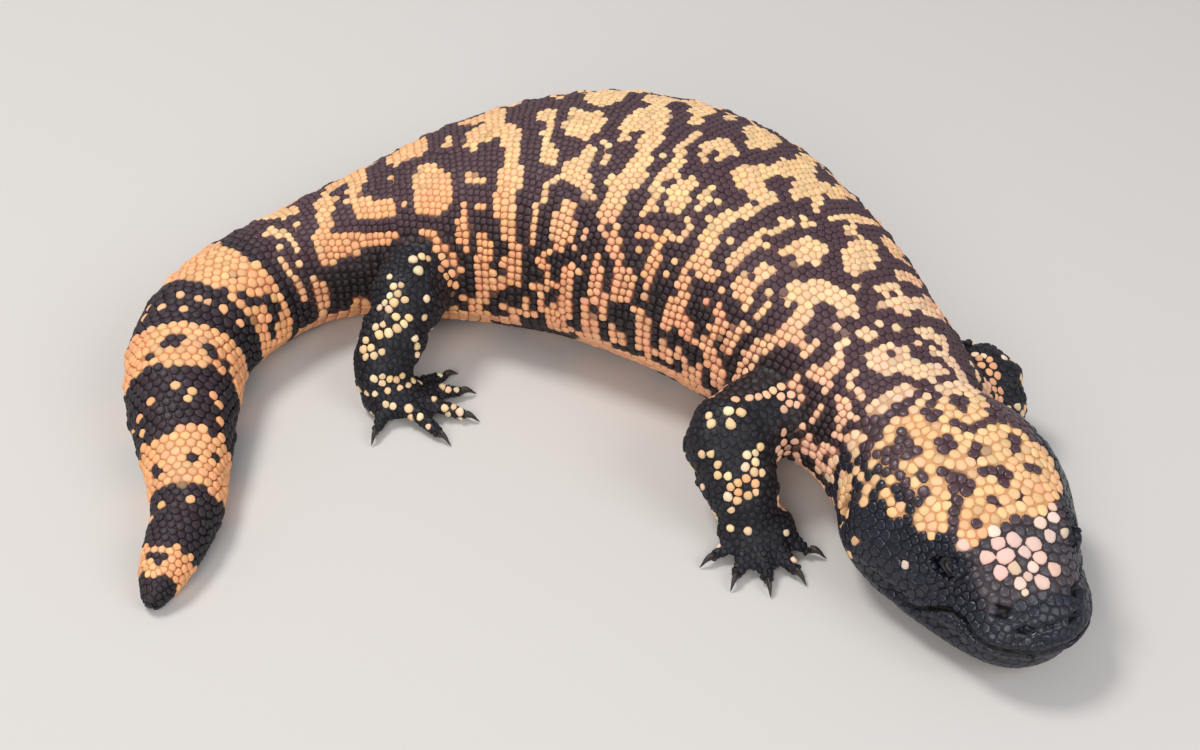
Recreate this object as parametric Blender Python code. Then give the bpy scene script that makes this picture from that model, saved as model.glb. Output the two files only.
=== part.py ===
"""Gila monster resting on all fours, a still museum model at life size.

The animal lies in a C: the tail curls forward on its right, the body arches
away and the head comes back forward on its left. World X runs across the C,
world Y runs away from the open side, and Z is up from the floor.

The trunk and tail are one swept skin, parted into lengths by thin cuts. The
limbs are tapered tubes that stop just short of whatever they grow from.
All sizes in this file are millimetres until the last step to metres.
"""
import math

import bmesh
import bpy
import numpy as np

MM = 0.001
GAP = 0.3
CENTRE_X = -3.7
CENTRE_Y = 0.45

# Beads of the hide. A bead is one raised point of the swept grid.
RING_STEP = 3.3
BEAD_RISE_FLANK = 1.0
BEAD_RISE_BACK = 0.85
BEAD_RISE_TAIL = 0.95
BEAD_RISE_LIMB = 0.8
PLATE_RISE = 0.7

# The spine from tail tip to the back of the skull:
# across, away, half width, height of the back.
SPINE = (
    (-108.5, -89.5, 2.4, 6.0),
    (-107.0, -84.0, 5.4, 10.0),
    (-105.5, -76.0, 7.2, 12.8),
    (-104.0, -64.0, 8.6, 15.0),
    (-107.0, -46.0, 11.2, 19.5),
    (-112.0, -23.0, 15.0, 25.5),
    (-113.0, -4.0, 16.8, 28.0),
    (-105.5, 14.0, 18.2, 30.0),
    (-89.5, 31.0, 18.8, 31.5),
    (-72.0, 40.0, 22.5, 36.0),
    (-53.0, 43.5, 30.0, 44.0),
    (-28.0, 46.0, 38.5, 52.5),
    (1.5, 41.5, 43.5, 60.0),
    (29.0, 25.0, 42.5, 61.0),
    (49.5, 2.5, 36.5, 56.0),
    (64.5, -21.0, 30.5, 49.0),
    (74.5, -39.0, 26.5, 43.0),
    (79.5, -50.5, 25.5, 40.5),
)
TAIL_ROOT_S = 132.0
SECTION_WAIST = 0.43

# Lengths of the swept skin, tail tip first: name, start, end, and the
# number of steps over the beaded upper part of a ring.
LENGTHS = (
    ("tail_tip", 0.0, 39.6, 16),
    ("tail_middle", 39.6, 85.8, 18),
    ("tail_root", 85.8, 132.0, 20),
    ("hips", 132.0, 184.8, 28),
    ("torso_rear", 184.8, 231.0, 32),
    ("torso_front", 231.0, 277.2, 32),
    ("shoulders", 277.2, 316.8, 30),
)
NECK_STEPS = 28
BELLY_ANGLES = (-90.0, -66.0, -43.0)
FIRST_BEAD_ANGLE = -20.0

# Head, measured forward from the end of the neck.
HEAD_HEADING = -70.0
HEAD_LENGTH = 66.8
MOUTH_CORNER = 25.0
MOUTH_DEPTH = 1.3
LIP_SWELL = 0.4
EYE_FORWARD = 44.0
EYE_OUT = 14.1
EYE_HEIGHT = 25.0
EYE_RADIUS = 2.9
NOSTRIL_FORWARD = 62.6
NOSTRIL_OUT = 6.6
NOSTRIL_HEIGHT = 18.6
EAR_FORWARD = 14.0
EAR_OUT = 27.0
EAR_HEIGHT = 19.0

# Profiles of the head: forward distance, value.
HEAD_HALF_WIDTH = (
    (0, 25.5), (8, 26.6), (16, 28.2), (24, 28.6), (32, 27.0), (40, 23.6),
    (47, 20.4), (53.5, 17.6), (58.7, 14.8), (62.8, 11.6), (65.3, 7.8), (66.8, 4.6),
)
HEAD_TOP = (
    (0, 40.5), (10, 40.8), (20, 40.0), (30, 38.0), (38, 35.4), (46, 31.8),
    (53, 27.6), (59.5, 23.4), (63.8, 20.2), (65.8, 17.4), (66.8, 15.6),
)
HEAD_MOUTH = (
    (0, 16.0), (20, 14.2), (30, 12.4), (40, 10.8), (50, 10.2), (61, 10.8),
    (66.8, 11.6),
)
HEAD_CHIN = (
    (0, 0.0), (50, 0.0), (56, 0.5), (61, 1.6), (64, 3.2), (66.8, 6.6),
)

# Limbs: joints as (across, away, up) with the radius of the limb there.
ARM_RIGHT = {
    "root": (50.0, -33.0, 22.0, 12.0),
    "bend": (31.5, -50.0, 19.5, 12.0),
    "wrist": (37.5, -63.0, 9.0, 8.6),
    "palm": (39.5, -65.0, 0.0),
    "heading": -84.0,
    "spread": 1.0,
}
ARM_LEFT = {
    "root": (86.0, -16.0, 15.5, 10.5),
    "bend": (103.5, -23.5, 16.5, 10.8),
    "wrist": (105.0, -34.5, 9.0, 7.4),
    "palm": (109.0, -37.0, 0.0),
    "heading": -74.0,
    "spread": 0.4,
}
LEG_RIGHT = {
    "root": (-50.0, 27.0, 21.0, 12.5),
    "bend": (-54.0, 4.5, 21.5, 10.8),
    "wrist": (-61.0, -11.0, 9.5, 8.0),
    "palm": (-57.5, -13.5, 0.0),
    "heading": -12.0,
    "spread": 1.0,
}
LEG_LEFT = {
    "root": (-53.0, 58.0, 20.0, 12.5),
    "bend": (-56.0, 76.0, 18.5, 10.5),
    "wrist": (-64.0, 91.0, 9.0, 7.8),
    "palm": (-60.0, 94.0, 0.0),
    "heading": 22.0,
    "spread": 1.0,
}

# Hand and foot: palm length, palm width, palm height.
HAND_PALM = (17.0, 22.0, 11.0)
FOOT_PALM = (19.0, 17.0, 11.0)

# Digits of a right hand, outer finger first: spread from the heading in
# degrees, reach beyond the palm centre, thickness.
HAND_DIGITS = (
    (-62.0, 13.0, 2.5),
    (-29.0, 14.5, 2.7),
    (0.0, 15.0, 2.8),
    (29.0, 14.5, 2.7),
    (62.0, 13.5, 2.6),
)
FOOT_DIGITS = (
    (-92.0, 12.5, 2.4),
    (-32.0, 19.0, 2.7),
    (-4.0, 20.5, 2.7),
    (24.0, 18.5, 2.6),
    (50.0, 17.0, 2.5),
)
CLAW_LENGTH = 5.6
CLAW_THICKNESS = 1.5

COLOURS = {
    "hide_salmon": (0.80, 0.30, 0.11),
    "hide_cream": (0.86, 0.50, 0.20),
    "hide_black": (0.022, 0.020, 0.026),
    "claw_horn": (0.05, 0.035, 0.028),
    "eye_dark": (0.008, 0.007, 0.008),
}
ROUGHNESS = {
    "hide_salmon": 0.45,
    "hide_cream": 0.42,
    "hide_black": 0.33,
    "claw_horn": 0.35,
    "eye_dark": 0.08,
}


def curve_through(rows):
    """Returns a function that passes smoothly through rows of (key, values...)."""
    table = np.array(rows, float)
    keys = table[:, 0]
    values = table[:, 1:]
    slopes = np.gradient(values, keys, axis=0)

    def at(key):
        key = min(max(key, keys[0]), keys[-1])
        i = int(np.searchsorted(keys, key, side="right")) - 1
        i = min(max(i, 0), len(keys) - 2)
        span = keys[i + 1] - keys[i]
        f = (key - keys[i]) / span
        h1 = 2 * f**3 - 3 * f**2 + 1
        h2 = f**3 - 2 * f**2 + f
        h3 = 3 * f**2 - 2 * f**3
        h4 = f**3 - f**2
        return (
            h1 * values[i]
            + h2 * span * slopes[i]
            + h3 * values[i + 1]
            + h4 * span * slopes[i + 1]
        )

    return at


def spine_curve():
    """Returns the spine as a function of distance from the tail tip, and its length."""
    table = np.array(SPINE)
    steps = np.linalg.norm(np.diff(table[:, :2], axis=0), axis=1)
    keys = np.concatenate([[0.0], np.cumsum(steps)])
    return curve_through(np.column_stack([keys, table])), keys[-1]


SPINE_AT, SPINE_LENGTH = spine_curve()
head_half_width = curve_through(HEAD_HALF_WIDTH)
head_top = curve_through(HEAD_TOP)
head_mouth = curve_through(HEAD_MOUTH)
head_chin = curve_through(HEAD_CHIN)


def bump(distance, reach):
    """A smooth hill: one at no distance, nothing from reach on."""
    if distance >= reach:
        return 0.0
    f = 1.0 - (distance / reach) ** 2
    return f * f


def material(name):
    """Returns the named finish, making it on first use."""
    found = bpy.data.materials.get(name)
    if found:
        return found
    made = bpy.data.materials.new(name)
    made.use_nodes = True
    shader = made.node_tree.nodes["Principled BSDF"]
    shader.inputs["Base Color"].default_value = (*COLOURS[name], 1.0)
    shader.inputs["Roughness"].default_value = ROUGHNESS[name]
    return made


def to_object(name, finish, points, faces):
    """Makes a smooth-shaded object from points in millimetres."""
    mesh = bpy.data.meshes.new(name)
    shifted = np.array(points, float) - (CENTRE_X, CENTRE_Y, 0.0)
    mesh.from_pydata((shifted * MM).tolist(), [], faces)
    work = bmesh.new()
    work.from_mesh(mesh)
    bmesh.ops.recalc_face_normals(work, faces=work.faces)
    bmesh.ops.triangulate(work, faces=work.faces)
    work.to_mesh(mesh)
    work.free()
    mesh.polygons.foreach_set("use_smooth", [True] * len(mesh.polygons))
    obj = bpy.data.objects.new(name, mesh)
    bpy.context.scene.collection.objects.link(obj)
    if finish:
        mesh.materials.append(material(finish))
    return obj


def loft(name, finish, rings, first_pole, last_pole):
    """Skins equal rings of points and closes both ends on a pole point."""
    count = len(rings[0])
    points = [tuple(p) for ring in rings for p in ring]
    faces = []
    for k in range(len(rings) - 1):
        for j in range(count):
            a = k * count + j
            b = k * count + (j + 1) % count
            faces.append((a, b, b + count, a + count))
    points.append(tuple(first_pole))
    points.append(tuple(last_pole))
    last = (len(rings) - 1) * count
    for j in range(count):
        after = (j + 1) % count
        faces.append((len(points) - 2, after, j))
        faces.append((len(points) - 1, last + j, last + after))
    return to_object(name, finish, points, faces)


def spine_frame(s):
    """Returns centre, unit forward and unit left of the spine at distance s."""
    centre = SPINE_AT(s)[:2]
    ahead = SPINE_AT(s + 0.5)[:2] - SPINE_AT(s - 0.5)[:2]
    ahead = ahead / np.linalg.norm(ahead)
    return centre, ahead, np.array([-ahead[1], ahead[0]])


def body_section(half, top, angle, grow):
    """Returns (left, up) on the body's section at an angle from its left side."""
    waist = SECTION_WAIST * top
    c = math.cos(angle)
    q = math.sin(angle)
    side = math.copysign(1.0, c)
    if q >= 0:
        left = side * (half + grow) * abs(c) ** 0.93
        up = waist + (top - waist + grow) * q**0.95
    else:
        left = side * (half + grow) * abs(c) ** 0.8
        up = waist - (1.06 * waist + grow) * abs(q) ** 0.78
    return left, max(up, 0.0)


def bead_rise(s, angle, place):
    """Height of a bead by its place: higher on the flank, none near a limb."""
    q = math.sin(angle)
    if s < TAIL_ROOT_S:
        rise = BEAD_RISE_TAIL * min(1.0, 0.35 + s / 60.0)
    else:
        rise = BEAD_RISE_BACK + (BEAD_RISE_FLANK - BEAD_RISE_BACK) * (1 - max(q, 0.0))
    fade = min(max((q + 0.35) / 0.3, 0.0), 1.0)
    for limb in (ARM_RIGHT, ARM_LEFT, LEG_RIGHT, LEG_LEFT):
        root = np.array(limb["root"][:3])
        bend = np.array(limb["bend"][:3])
        along = np.clip(
            np.dot(place - root, bend - root) / np.dot(bend - root, bend - root), 0, 1
        )
        distance = np.linalg.norm(place - root - along * (bend - root))
        reach = max(limb["root"][3], limb["bend"][3])
        fade *= min(max((distance - reach - 1.0) / 4.0, 0.0), 1.0)
    return rise * fade


def ring_angles(steps):
    """Angles round a ring in degrees from its left side, belly first."""
    span = 180.0 - 2 * FIRST_BEAD_ANGLE
    upper = [FIRST_BEAD_ANGLE + span * j / steps for j in range(steps + 1)]
    far_belly = [180.0 - a for a in reversed(BELLY_ANGLES[1:])]
    return list(BELLY_ANGLES) + upper + far_belly


def body_ring(s, steps, grow, raised):
    """One ring of the swept skin. raised is None, or the parity of its beads."""
    _, _, half, top = SPINE_AT(s)
    centre, _, left_way = spine_frame(s)
    middle = np.array([centre[0], centre[1], SECTION_WAIST * top])
    ring = []
    for j, degrees in enumerate(ring_angles(steps)):
        angle = math.radians(degrees)
        left, up = body_section(half, top, angle, grow)
        spot = centre + left_way * left
        place = np.array([spot[0], spot[1], up])
        if raised is not None and (j + raised) % 2 == 0:
            way = place - middle
            way = way / np.linalg.norm(way)
            place = place + way * bead_rise(s, angle, place)
            place[2] = max(place[2], 0.0)
        ring.append(place)
    return ring


def body_length(name, finish, start, end, steps):
    """One length of tail, torso or neck, parted from its neighbours."""
    first = start + (GAP / 2 if start > 0 else 0.6)
    last = end - GAP / 2
    rings = [body_ring(first, steps, 0.0, None)]
    k = int(first / RING_STEP) + 1
    while k * RING_STEP < last - 0.4:
        if k * RING_STEP > first + 0.4:
            raised = (k // 2) % 2 if k % 2 == 0 else None
            rings.append(body_ring(k * RING_STEP, steps, 0.0, raised))
        k += 1
    rings.append(body_ring(last, steps, 0.0, None))
    poles = []
    for s, push in ((first, -1.4 if start == 0 else 0.0), (last, 0.0)):
        centre, ahead, _ = spine_frame(s)
        spot = centre + ahead * push
        poles.append((spot[0], spot[1], SECTION_WAIST * SPINE_AT(s)[3]))
    return loft(name, finish, rings, poles[0], poles[1])


def body_cutter(name, start, end):
    """The plain body between two distances, swollen by the gap."""
    rings = []
    stops = max(int((end - start) / 6), 2)
    for k in range(stops + 1):
        rings.append(body_ring(start + (end - start) * k / stops, 32, GAP, None))
    poles = []
    for s in (start, end):
        centre, _, _ = spine_frame(s)
        poles.append((centre[0], centre[1], SECTION_WAIST * SPINE_AT(s)[3]))
    return helper(loft(name, None, rings, poles[0], poles[1]))


def helper(obj):
    """Marks an object as a tool that isn't part of the model."""
    obj.hide_render = True
    obj.display_type = "WIRE"
    return obj


def combine(obj, other, operation):
    """Adds an exact Boolean of other to obj and applies it."""
    step = obj.modifiers.new(operation.lower(), "BOOLEAN")
    step.object = other
    step.operation = operation
    step.solver = "EXACT"
    graph = bpy.context.evaluated_depsgraph_get()
    result = bpy.data.meshes.new_from_object(obj.evaluated_get(graph))
    obj.modifiers.clear()
    old = obj.data
    obj.data = result
    bpy.data.meshes.remove(old)
    work = bmesh.new()
    work.from_mesh(obj.data)
    bmesh.ops.remove_doubles(work, verts=work.verts, dist=2e-6)
    bmesh.ops.triangulate(work, faces=work.faces)
    work.to_mesh(obj.data)
    work.free()
    obj.data.polygons.foreach_set("use_smooth", [True] * len(obj.data.polygons))
    return obj


def keep_largest(obj):
    """Drops the crumbs that a cut leaves loose, and keeps the largest piece."""
    work = bmesh.new()
    work.from_mesh(obj.data)
    pieces = []
    unseen = set(work.faces)
    while unseen:
        piece = set()
        front = [unseen.pop()]
        while front:
            face = front.pop()
            piece.add(face)
            for edge in face.edges:
                for other in edge.link_faces:
                    if other in unseen:
                        unseen.remove(other)
                        front.append(other)
        pieces.append(piece)
    pieces.sort(key=lambda piece: sum(face.calc_area() for face in piece))
    crumbs = [face for piece in pieces[:-1] for face in piece]
    bmesh.ops.delete(work, geom=crumbs, context="FACES")
    work.to_mesh(obj.data)
    work.free()


def discard(obj):
    """Removes a spent tool and its mesh."""
    mesh = obj.data
    bpy.data.objects.remove(obj)
    bpy.data.meshes.remove(mesh)


def ball(name, finish, centre, radii, turn=0.0, around=14, rows=9, floor=False):
    """An egg with radii along, across and up, its long axis turned by degrees."""
    heading = math.radians(turn)
    ahead = np.array([math.cos(heading), math.sin(heading), 0.0])
    left = np.array([-ahead[1], ahead[0], 0.0])
    rings = []
    for k in range(1, rows):
        lat = math.pi * k / rows - math.pi / 2
        ring = []
        for j in range(around):
            lon = 2 * math.pi * j / around
            place = (
                np.array(centre, float)
                + ahead * radii[0] * math.cos(lat) * math.cos(lon)
                + left * radii[1] * math.cos(lat) * math.sin(lon)
                + np.array([0, 0, radii[2] * math.sin(lat)])
            )
            if floor:
                place[2] = max(place[2], 0.0)
            ring.append(place)
        rings.append(ring)
    low = np.array(centre, float) - (0, 0, radii[2])
    high = np.array(centre, float) + (0, 0, radii[2])
    if floor:
        low[2] = max(low[2], 0.0)
    return loft(name, finish, rings, low, high)


def tube(name, finish, stops, count, rings_between, flat=1.0, floor=False, rise=0.0):
    """A tapered tube with rounded ends through stops of (x, y, z, radius)."""
    table = np.array(stops, float)
    steps = np.linalg.norm(np.diff(table[:, :3], axis=0), axis=1)
    keys = np.concatenate([[0.0], np.cumsum(steps)])
    at = curve_through(np.column_stack([keys, table]))
    length = keys[-1]
    total = rings_between * (len(stops) - 1)
    rings = []

    def frame(key):
        ahead = at(min(key + 0.3, length))[:3] - at(max(key - 0.3, 0.0))[:3]
        ahead = ahead / np.linalg.norm(ahead)
        side = np.cross(ahead, (0.0, 0.0, 1.0))
        if np.linalg.norm(side) < 0.2:
            side = np.cross(ahead, (1.0, 0.0, 0.0))
        side = side / np.linalg.norm(side)
        return ahead, side, np.cross(side, ahead)

    def ring(key, scale, push, raised):
        value = at(key)
        ahead, side, up = frame(key)
        made = []
        for j in range(count):
            angle = 2 * math.pi * j / count
            radius = value[3] * scale
            if raised is not None and j % 2 == raised:
                radius += rise
            place = (
                value[:3]
                + ahead * push * value[3]
                + side * radius * math.cos(angle)
                + up * radius * flat * math.sin(angle)
            )
            if floor:
                place[2] = max(place[2], 0.0)
            made.append(place)
        return made

    rings.append(ring(0.0, 0.62, -0.72, None))
    for k in range(total + 1):
        raised = (k // 2) % 2 if rise and k % 2 else None
        rings.append(ring(length * k / total, 1.0, 0.0, raised))
    rings.append(ring(length, 0.62, 0.72, None))
    first = at(0.0)[:3] - frame(0.0)[0] * at(0.0)[3] * 0.92
    last = at(length)[:3] + frame(length)[0] * at(length)[3] * 0.92
    if floor:
        first[2] = max(first[2], 0.3)
        last[2] = max(last[2], 0.3)
    return loft(name, finish, rings, first, last)


def digit_path(limb, spread, reach, thick, mirrored, grow):
    """Returns the stops of one digit and the unit direction of its claw."""
    centre = np.array(limb["palm"], float)
    spread = spread * limb["spread"] * (-1 if mirrored else 1)
    heading = math.radians(limb["heading"] + spread)
    ahead = np.array([math.cos(heading), math.sin(heading), 0.0])
    root = centre + ahead * 4.0 + (0, 0, thick + 1.2)
    knuckle = centre + ahead * (reach * 0.62) + (0, 0, thick + 0.9)
    tip = centre + ahead * reach + (0, 0, thick * 0.78)
    stops = (
        (*root, thick * 1.15 + grow),
        (*knuckle, thick + grow),
        (*tip, thick * 0.8 + grow),
    )
    return stops, ahead


def foot(name, finish, limb, palm, digits, mirrored, grow):
    """A palm with five digits fused to it, flat on the floor."""
    length, width, height = palm
    centre = (limb["palm"][0], limb["palm"][1], height * 0.36)
    made = ball(
        name,
        finish,
        centre,
        (length / 2 + grow, width / 2 + grow, height * 0.64 + grow),
        turn=limb["heading"],
        around=12,
        rows=6,
        floor=True,
    )
    for spread, reach, thick in digits:
        stops, _ = digit_path(limb, spread, reach, thick, mirrored, grow)
        digit = tube("digit_tool", None, stops, 8, 2, floor=True)
        combine(made, digit, "UNION")
        discard(digit)
    return made


def claw(name, limb, spread, reach, thick, mirrored):
    """A curved claw that starts just ahead of its digit and ends by the floor."""
    stops, ahead = digit_path(limb, spread, reach, thick, mirrored, 0.0)
    tip = np.array(stops[2][:3])
    start = tip + ahead * (stops[2][3] * 0.92 + GAP)
    side = np.array([-ahead[1], ahead[0], 0.0])
    rings = []
    rows = 5
    for k in range(rows):
        f = k / rows
        radius = CLAW_THICKNESS * (1 - f) ** 0.7
        if k == 0:
            radius = CLAW_THICKNESS * 0.8
        middle = start + ahead * CLAW_LENGTH * f
        middle[2] = 1.75 + 1.4 * math.sin(math.pi * min(f * 1.05, 1.0)) - 0.5 * f
        ring = []
        for j in range(6):
            angle = 2 * math.pi * j / 6
            place = middle + side * radius * 0.72 * math.cos(angle)
            place[2] += radius * math.sin(angle)
            ring.append(place)
        rings.append(ring)
    end = start + ahead * CLAW_LENGTH
    end[2] = 0.45
    first = np.array(start)
    first[2] = 1.75
    return loft(name, "claw_horn", rings, first, end)


def head_frame():
    """Returns the head's origin, unit forward and unit left on the floor."""
    origin = SPINE_AT(SPINE_LENGTH)[:2]
    heading = math.radians(HEAD_HEADING)
    ahead = np.array([math.cos(heading), math.sin(heading)])
    return origin, ahead, np.array([-ahead[1], ahead[0]])


def head_place(forward, out, up):
    """Turns a place measured on the head into a place on the floor plan."""
    origin, ahead, left = head_frame()
    spot = origin + ahead * forward + left * out
    return np.array([spot[0], spot[1], up])


# Swellings and hollows of the head: forward, out, up, reach, push outward.
HEAD_FORMS = (
    ("jowl", 21.0, 27.0, 16.0, 15.0, 1.6),
    ("brow", 43.0, 14.0, 31.0, 8.5, 1.5),
    ("temple", 32.0, 25.0, 27.0, 10.0, -1.2),
    ("cheek_hollow", 50.0, 18.0, 20.0, 8.0, -1.3),
    ("snout_side", 59.0, 12.0, 16.0, 7.0, 0.8),
    ("ear_fold", 12.0, 27.0, 19.0, 7.5, -1.0),
)


def head_section(forward, angle, grow):
    """Returns (out, up) on the head's section; angle zero is the mouth line."""
    half = head_half_width(forward)[0] + grow
    mouth = head_mouth(forward)[0]
    top = head_top(forward)[0] + grow
    chin = head_chin(forward)[0] - grow
    c = math.cos(angle)
    q = math.sin(angle)
    side = math.copysign(1.0, c)
    lean = forward / HEAD_LENGTH
    if q >= 0:
        power = 0.90 - 0.04 * lean
        out = side * half * abs(c) ** power
        up = mouth + (top - mouth) * q ** (0.93 - 0.08 * lean)
    else:
        out = side * half * abs(c) ** 0.78
        out *= 1.0 - 0.10 * lean * abs(q)
        up = mouth - (mouth - chin) * 1.05 * abs(q) ** 0.82
    return out, max(up, 0.0)


def head_point(forward, angle, grow):
    """A place on the head's skin with its swellings, before plates."""
    out, up = head_section(forward, angle, grow)
    way = np.array([0.0, math.cos(angle), math.sin(angle)])
    push = 0.0
    for _, f0, o0, u0, reach, amount in HEAD_FORMS:
        distance = math.dist((forward, abs(out), up), (f0, o0, u0))
        push += amount * bump(distance, reach)
    recess = 0.0
    if math.sin(angle) < -0.01:
        recess = 2.4 * max(forward - 48.0, 0.0) / (HEAD_LENGTH - 48.0)
    place = np.array([forward - recess, out, up]) + way * push
    place[2] = max(place[2], 0.0)
    return place


def head_angles():
    """Angles round the head: close together either side of the mouth line."""
    right_up = [0, 5, 16, 28, 40, 51, 62, 72, 81]
    right_down = [-5, -20, -42, -66]
    half = sorted(right_down) + right_up
    left = [180 - a for a in reversed(half)]
    return [math.radians(a) for a in half + [90] + left + [270]]


def head_ring(forward, row, grow, grooved):
    """One ring of the head, with the mouth line cut in and plates raised."""
    ring = []
    for j, angle in enumerate(head_angles()):
        place = head_point(forward, angle, grow)
        at_mouth = abs(math.sin(angle)) < 0.01
        if grooved and at_mouth and forward > MOUTH_CORNER:
            depth = MOUTH_DEPTH * min((forward - MOUTH_CORNER) / 6.0, 1.0)
            place[1] -= math.copysign(depth, place[1])
            place[0] -= depth * max(forward - 55.0, 0.0) / 10.0
        at_lip = 0.05 < abs(math.sin(angle)) < 0.36
        if grooved and at_lip and forward > MOUTH_CORNER:
            swell = LIP_SWELL * min((forward - MOUTH_CORNER) / 6.0, 1.0)
            place[1] += math.copysign(swell, place[1])
        if math.sin(angle) > 0.45 and row is not None and (j + row) % 2 == 0:
            rise = PLATE_RISE * (1.0 if row % 2 == 0 else 0.2)
            place[1] += rise * math.cos(angle)
            place[2] += rise * math.sin(angle)
        ring.append(head_place(*place))
    return ring


def head_solid(name, finish, grow):
    """The whole head from the neck's end to the snout."""
    stops = [GAP / 2 + 1.2] + [2.6 * k for k in range(1, 24)]
    stops += [61.6, 63.2, 64.6, 65.8, 66.5]
    rings = []
    for row, forward in enumerate(stops):
        rings.append(head_ring(forward, row, grow, True))
    middle = sum(rings[-1]) / len(rings[-1])
    _, ahead, _ = head_frame()
    tip = middle + np.array([*ahead, 0.0]) * 0.5
    back = head_place(stops[0], 0.0, 18.0)
    return loft(name, finish, rings, back, tip)


def build_head():
    """The head with its eye sockets and lids, nostrils and ear slits."""
    head = head_solid("head", "hide_cream", 0.0)
    for side in (-1, 1):
        eye = head_place(EYE_FORWARD, side * (EYE_OUT + 0.5), EYE_HEIGHT)
        lid = ball("lid_tool", None, eye, (5.0, 3.0, 3.8), HEAD_HEADING, 14, 8)
        combine(head, lid, "UNION")
        discard(lid)
    for side in (-1, 1):
        name = "right" if side < 0 else "left"
        eye = head_place(EYE_FORWARD, side * EYE_OUT, EYE_HEIGHT)
        reach = EYE_RADIUS + GAP
        socket = ball("socket_tool", None, eye, [reach] * 3, HEAD_HEADING, 12, 7)
        combine(head, socket, "DIFFERENCE")
        discard(socket)
        slit = head_place(EYE_FORWARD, side * (EYE_OUT + 3.4), EYE_HEIGHT - 0.1)
        opening = ball("slit_tool", None, slit, (3.2, 3.3, 1.8), HEAD_HEADING, 12, 7)
        combine(head, opening, "DIFFERENCE")
        discard(opening)
        ball(f"eye_{name}", "eye_dark", eye, [EYE_RADIUS] * 3, HEAD_HEADING, 12, 7)
        pit = head_place(NOSTRIL_FORWARD, side * NOSTRIL_OUT, NOSTRIL_HEIGHT)
        nostril = ball("nostril_tool", None, pit, (2.7, 1.8, 1.3), HEAD_HEADING, 10, 6)
        combine(head, nostril, "DIFFERENCE")
        discard(nostril)
        hole = head_place(EAR_FORWARD, side * EAR_OUT, EAR_HEIGHT)
        ear = ball("ear_tool", None, hole, (1.9, 2.4, 5.6), HEAD_HEADING, 10, 8)
        combine(head, ear, "DIFFERENCE")
        discard(ear)


def build_limb(label, limb, palm, digits, mirrored, span, words):
    """Upper limb, lower limb, foot and five claws, each parted from the next."""
    upper_word, lower_word, foot_word = words
    root = limb["root"]
    bend = limb["bend"]
    wrist = limb["wrist"]
    middle = [(root[i] + bend[i]) / 2 for i in range(4)]
    upper_stops = (root, middle, bend)
    lean = [bend[i] + (wrist[i] - bend[i]) * 0.5 for i in range(4)]
    lean[3] += 0.3
    start = [*bend[:3], bend[3] - 2.0]
    lower_stops = (start, lean, wrist)
    upper = tube(
        f"{label}_{upper_word}", "hide_black", upper_stops, 14, 4, rise=BEAD_RISE_LIMB
    )
    lower = tube(
        f"{label}_{lower_word}", "hide_black", lower_stops, 12, 4, rise=BEAD_RISE_LIMB
    )
    paw = foot(f"{label}_{foot_word}", "hide_black", limb, palm, digits, mirrored, 0.0)
    body = body_cutter("body_tool", *span)
    combine(upper, body, "DIFFERENCE")
    combine(lower, body, "DIFFERENCE")
    discard(body)
    swollen = [(*stop[:3], stop[3] + GAP + BEAD_RISE_LIMB) for stop in upper_stops]
    tool = helper(tube("upper_tool", None, swollen, 14, 4))
    combine(lower, tool, "DIFFERENCE")
    discard(tool)
    tool = helper(foot("foot_tool", None, limb, palm, digits, mirrored, GAP))
    combine(lower, tool, "DIFFERENCE")
    discard(tool)
    keep_largest(upper)
    keep_largest(lower)
    for number, (spread, reach, thick) in enumerate(digits):
        name = f"{label}_{foot_word}_claw_{number + 1}"
        claw(name, limb, spread, reach, thick, mirrored)
    return upper, lower, paw


def build():
    """Builds every piece in order from tail to snout."""
    for obj in list(bpy.data.objects):
        bpy.data.objects.remove(obj)
    for name, start, end, steps in LENGTHS:
        body_length(name, "hide_salmon", start, end, steps)
    body_length("neck", "hide_salmon", LENGTHS[-1][2], SPINE_LENGTH, NECK_STEPS)
    build_head()
    arm_words = ("upper_arm", "forearm", "hand")
    leg_words = ("thigh", "shank", "foot")
    arm_span = (268.0, SPINE_LENGTH)
    leg_span = (120.0, 210.0)
    build_limb("right", ARM_RIGHT, HAND_PALM, HAND_DIGITS, False, arm_span, arm_words)
    build_limb("left", ARM_LEFT, HAND_PALM, HAND_DIGITS, True, arm_span, arm_words)
    build_limb("right", LEG_RIGHT, FOOT_PALM, FOOT_DIGITS, False, leg_span, leg_words)
    build_limb("left", LEG_LEFT, FOOT_PALM, FOOT_DIGITS, True, leg_span, leg_words)


build()
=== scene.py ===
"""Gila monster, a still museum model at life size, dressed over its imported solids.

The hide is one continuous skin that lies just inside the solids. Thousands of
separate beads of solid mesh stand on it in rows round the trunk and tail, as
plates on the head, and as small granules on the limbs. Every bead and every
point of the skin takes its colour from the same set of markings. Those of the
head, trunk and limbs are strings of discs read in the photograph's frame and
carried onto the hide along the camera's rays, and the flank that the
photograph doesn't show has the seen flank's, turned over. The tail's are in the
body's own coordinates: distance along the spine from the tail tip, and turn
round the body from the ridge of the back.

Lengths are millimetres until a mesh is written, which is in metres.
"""

import logging
import math
from dataclasses import dataclass
from dataclasses import field
from dataclasses import fields
from enum import Enum
from itertools import product

import bmesh
import bpy
import numpy as np
from mathutils import Matrix
from mathutils import Vector
from mathutils import noise
from mathutils.bvhtree import BVHTree
from mathutils.kdtree import KDTree


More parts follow.
